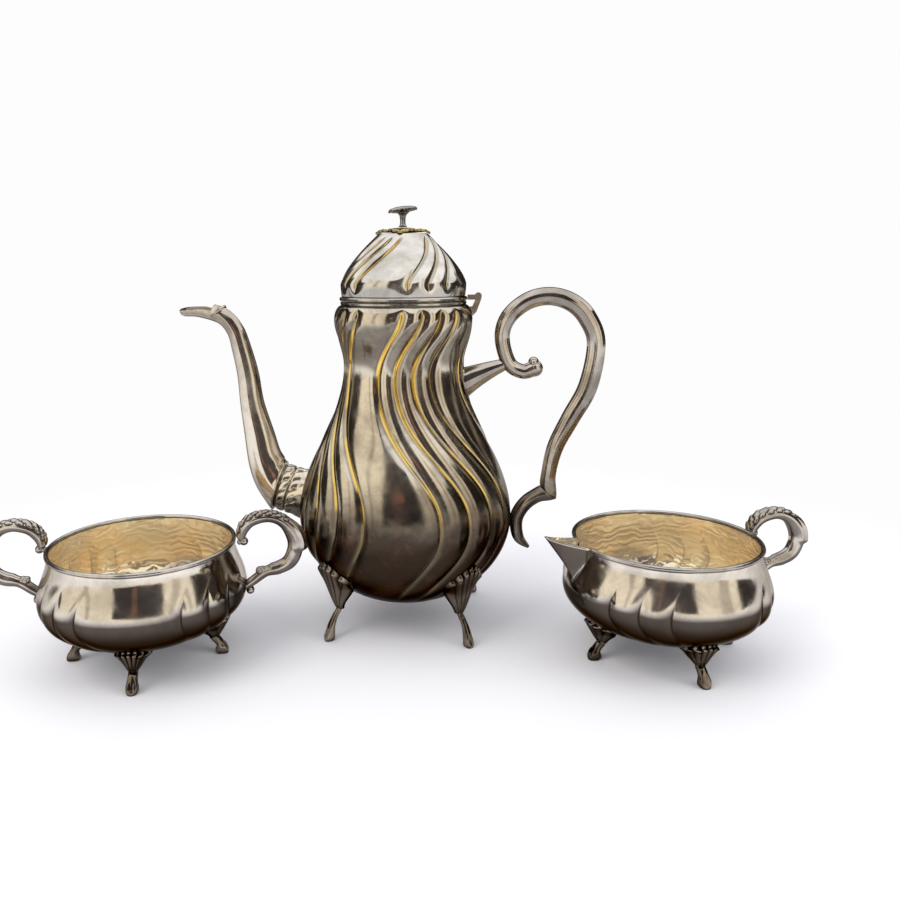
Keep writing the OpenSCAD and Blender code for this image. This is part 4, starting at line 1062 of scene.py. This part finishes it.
def foot_fan(leg_t, ankle_r, ankle_z, top_r, top_z, half_w, wall_of):
    """A cockle shell: convex, its hinge at the ankle and its edge against the wall."""
    front, back, near = [], [], []
    for i in range(FAN_ROWS):
        t = i / (FAN_ROWS - 1)
        for j in range(FAN_COLS + 1):
            u = mix(-1, 1, j / FAN_COLS)
            rib = abs(math.sin(math.pi * FAN_RIBS * j / FAN_COLS))
            s = t * (1 - 0.10 * (1 - rib ** 0.6) * t)
            z = ankle_z - 0.5 + (top_z - ankle_z + 0.5) * s * (1 - 0.34 * u * u * s)
            y = mix(0.15 * half_w, half_w, s ** 0.85) * u
            c = max(0.0, (z - ankle_z) / (top_z - ankle_z))
            ridge = mix(ankle_r + leg_t, top_r, c ** 0.8)
            skin = wall_of(max(z, LOWEST_WALL_Z))
            wall = max(skin + 0.7, ridge - 8)
            side = mix(ridge - leg_t * 1.2, wall, ramp(0.0, 0.5, s))
            r = mix(max(ridge, wall), side, abs(u) ** 2.6)
            r += (0.2 + 1.3 * s) * rib ** 0.7 - 0.3
            r = mix(r, skin - 0.2, ramp(0.88, 1.0, t))
            front.append((math.sqrt(max(1, r * r - y * y)), y, z))
            r -= FAN_T
            back.append((math.sqrt(max(1, r * r - y * y)), y, z))
            # Painted shade: near is small in the grooves between the ribs, most of all towards
            # the shell's edge against the wall
            near.append(rib + 0.3 * (1 - t))
    grid = (FAN_ROWS, FAN_COLS + 1, 3)
    verts, faces = two_skins(np.reshape(front, grid), np.reshape(back, grid))
    return verts, faces, near * 2


def foot_mesh(wall_of, toe_r, pad_l, pad_w, leg_t, ankle_r, ankle_z, top_z, half_w):
    top_r = wall_of(top_z) + 0.8
    verts, faces, crease = join([
        foot_leg(toe_r, pad_l, pad_w, leg_t, ankle_r, ankle_z, top_r, top_z, half_w),
        foot_fan(leg_t, ankle_r, ankle_z, top_r, top_z, half_w, wall_of)])
    verts = body_clip(verts, wall_of)
    verts[:, 2] = np.maximum(verts[:, 2], 0)
    return verts, faces, crease


pot_foot = foot_mesh(pot_radius, **POT_FOOT)
bowl_foot = foot_mesh(bowl_radius, **BOWL_FOOT)
for i in range(4):
    for name, foot, axis, yaw, body in (
            ("pot", pot_foot, POT, 45, "pot"),
            ("sugar", bowl_foot, SUGAR, SUGAR_YAW, "sugar_bowl"),
            ("creamer", bowl_foot, CREAMER, CREAMER_YAW, "creamer")):
        verts, faces, crease = foot
        new_object("%s_shell_foot_%d" % (name, i + 1), place(verts, axis, yaw + 90 * i),
                   faces, body, M_FOOT, ["%s_foot_%d" % (name, i + 1)],
                   crease)

# ---------- finial and leaf

GRANULES, GOLDEN_ANGLE = 170, math.radians(137.5)


def lid_leaf():
    k, rows = 256, 22
    th = 2 * np.pi * np.arange(k) / k
    edge = LEAF_R * (1 + 0.14 * np.cos(4 * th))
    edge += 0.35 * np.cos(20 * th) + 0.3 * np.cos(12 * th)
    top, low, near = [], [], []
    for i in range(rows):
        s = mix(0.13, 1.0, i / (rows - 1))
        r = edge * s
        boss = LEAF_BOSS * (1 - ramp(5.0, 10.0, r))
        drop = LEAF_DROOP * ramp(CROWN_R - 1.2, CROWN_R + 1.0, r)
        vein = 0.22 * np.cos(12 * th) * s
        roll = 0.45 * math.exp(-((s - 0.94) / 0.05) ** 2)
        z = np.minimum(LEAF_Z + LEAF_T - 0.45 + boss + vein + roll,
                       LEAF_Z + LEAF_T + LEAF_BOSS) - drop
        top.append(around(r, th, z))
        low.append(around(r, th, LEAF_Z - drop))
        near.append((edge - r) * 0.9)
    rings = np.array(top + low[::-1])
    new_object("lid_leaf_lobed", place(rings.reshape(-1, 3), POT),
               grid_faces(len(rings), k, loop_rings=True), "lid", M_LEAF,
               ["lid_leaf"], near + near[::-1])


def turned(profile):
    """A solid of revolution; profile rows are [radius, height]."""
    th = np.radians(np.arange(0, 360, 7.5))
    return solid(np.array([around(max(r, 0.01), th, z) for r, z in profile]))


def flower(top):
    """The finial's cap: a disc set with granules, slightly tilted."""
    parts = [turned(resample([
        [0.01, top + 0.3], [FLOWER_R * 0.55, top + 0.5], [FLOWER_R * 0.9, top + 1.4],
        [FLOWER_R * 0.95, top + 2.1], [FLOWER_R * 0.8, top + 3.1],
        [FLOWER_R * 0.4, top + 3.7], [0.01, top + 3.8]], 5))]
    rng = random.Random(7)
    for i in range(GRANULES):
        u = (i + 0.5) / GRANULES
        a = i * GOLDEN_ANGLE
        r = (FLOWER_R - 0.75) * math.sqrt(u)
        points, faces = ball(2, 0.55 + 0.3 * rng.random())
        z = top + FLOWER_H - 1.5 - 1.7 * u ** 1.6 + 0.25 * rng.random()
        parts.append((np.array(points) + (r * math.cos(a), r * math.sin(a), z), faces))
    verts, faces, _ = join(parts)
    tilt = math.radians(6.5)
    x, z = verts[:, 0].copy(), verts[:, 2] - top - 2
    verts[:, 0] = x * math.cos(tilt) - z * math.sin(tilt)
    verts[:, 2] = np.minimum(top + 2 + x * math.sin(tilt) + z * math.cos(tilt),
                             top + FLOWER_H)
    return verts, faces


def finial():
    foot, top = FINIAL_Z, FINIAL_Z + STEM_H
    stem = turned(resample([
        [0.01, foot], [STEM_R * 1.9, foot], [STEM_R * 1.5, foot + 0.7],
        [STEM_R * 1.15, foot + 2.2], [STEM_R * 1.2, top - 3], [STEM_R * 1.6, top - 1.0],
        [STEM_R * 2.6, top + 0.5], [0.01, top + 1.0]], 5))
    verts, faces, _ = join([stem, flower(top)])
    new_object("finial_flower", place(verts, POT), faces, "lid", M_FINIAL,
               ["finial"])


lid_leaf()
finial()

# ---------- carried-over nodes

CARRIED_OVER = {
    M_WIRE: ("mouth_wire", "lid_flange", "sugar_rim", "creamer_rim", "finial_nut"),
    M_HINGE: ("hinge_bracket", "hinge_pin", "lid_hinge_lug"),
    M_GILT: ("lid_bezel",)}
for mat, nodes in CARRIED_OVER.items():
    for node in nodes:
        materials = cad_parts[node].data.materials
        materials.clear()
        materials.append(mat)

# ---------- stage

BACKGROUND = (0.985, 0.98, 0.985)


def floor_material():
    """Pale and dull under the set, and as bright as the background further out."""
    mat = bpy.data.materials.new("pale_floor")
    g = Graph(mat)
    dull = g.node("ShaderNodeBsdfDiffuse", {"Color": (0.95, 0.945, 0.95)}).outputs[0]
    point = g.node("ShaderNodeNewGeometry").outputs["Position"]
    far = g.node("ShaderNodeVectorMath", {0: point}, operation="LENGTH").outputs["Value"]
    g.end("Material", g.blend(g.remap(far, 0.24, 0.5), dull, g.glow(BACKGROUND)))
    return mat


bpy.ops.mesh.primitive_plane_add(size=1)
floor = bpy.context.object
floor.name = "floor"
floor.scale = (14, 14, 1)
floor.data.materials.append(floor_material())


def area(name, loc, size, power, color):
    """A soft lamp aimed at the set, which metal doesn't mirror."""
    lamp = bpy.data.lights.new(name, "AREA")
    lamp.shape = "RECTANGLE"
    lamp.size, lamp.size_y = size
    lamp.energy = power
    lamp.color = color
    ob = linked(name, lamp)
    ob.location = loc
    aim = Vector((0, 0, 0.08)) - Vector(loc)
    ob.rotation_euler = aim.to_track_quat("-Z", "Y").to_euler()
    ob.visible_glossy = False


area("key", (-0.9, -0.9, 1.3), (1.0, 1.0), 10, (1.0, 0.97, 0.93))
area("fill", (1.2, -0.4, 0.9), (0.8, 1.2), 4.5, (0.96, 0.97, 1.0))

# The camera and the metal see one even background; the light itself is a little cooler
world = bpy.data.worlds.new("studio")
bpy.context.scene.world = world
g = Graph(world)
rays = g.node("ShaderNodeLightPath").outputs
seen = g.math("MAXIMUM", g.math("MAXIMUM", rays["Is Camera Ray"], rays["Is Glossy Ray"]),
              rays["Is Transmission Ray"])
light = g.node("ShaderNodeBackground", {"Color": (0.95, 0.95, 1.0), "Strength": 0.97})
sight = g.node("ShaderNodeBackground", {"Color": BACKGROUND})
g.end("World", g.blend(seen, light.outputs[0], sight.outputs[0]))


def flag(name, az, dist, height, color):
    """A curved card round the set that glows in a flat colour, lights nothing and
    shows only in the reflections of polished metal, as a photographer's flag. az and
    height are ranges, in degrees and metres."""
    mat = bpy.data.materials.new(name)
    g = Graph(mat)
    g.end("Material", g.glow(color))
    n = 24
    verts = []
    for z in height:
        for i in range(n + 1):
            a = math.radians(mix(az[0], az[1], i / n))
            verts.append((dist * math.cos(a), dist * math.sin(a), z))
    me = bpy.data.meshes.new(name)
    me.from_pydata(verts, [], [(i, i + 1, n + 2 + i, n + 1 + i) for i in range(n)])
    me.materials.append(mat)
    ob = linked(name, me)
    ob.visible_camera = False
    ob.visible_diffuse = False
    ob.visible_shadow = False
    ob.visible_transmission = False


DARK, WARM, CREAM = (0.035, 0.03, 0.027), (0.25, 0.21, 0.17), (0.95, 0.87, 0.73)
BEIGE, BLACK = (0.55, 0.49, 0.41), (0.06, 0.052, 0.054)
RED, RED_BROWN = (0.36, 0.17, 0.12), (0.20, 0.12, 0.09)
for i, (az, dist, height, color) in enumerate([
        ((-16, 190), 2.0, (0.0, 1.25), DARK),
        ((38, 48), 1.9, (0.2, 1.5), WARM),
        ((120, 132), 1.9, (0.2, 1.5), WARM),
        ((190, 222), 2.0, (0.02, 1.9), CREAM),
        ((222, 229), 1.95, (0.0, 1.9), BEIGE),
        ((229, 262), 2.0, (0.02, 2.0), CREAM),
        ((249, 303), 0.62, (0.085, 0.74), BLACK),
        ((262, 276), 0.59, (0.30, 0.38), RED),
        ((266, 272), 0.59, (0.12, 0.24), RED_BROWN),
        ((262, 322), 2.0, (0.02, 1.8), CREAM),
        ((322, 333), 2.0, (0.0, 2.0), BEIGE),
        ((333, 344), 1.95, (0.0, 2.0), CREAM)]):
    flag("flag_%d" % (i + 1), az, dist, height, color)
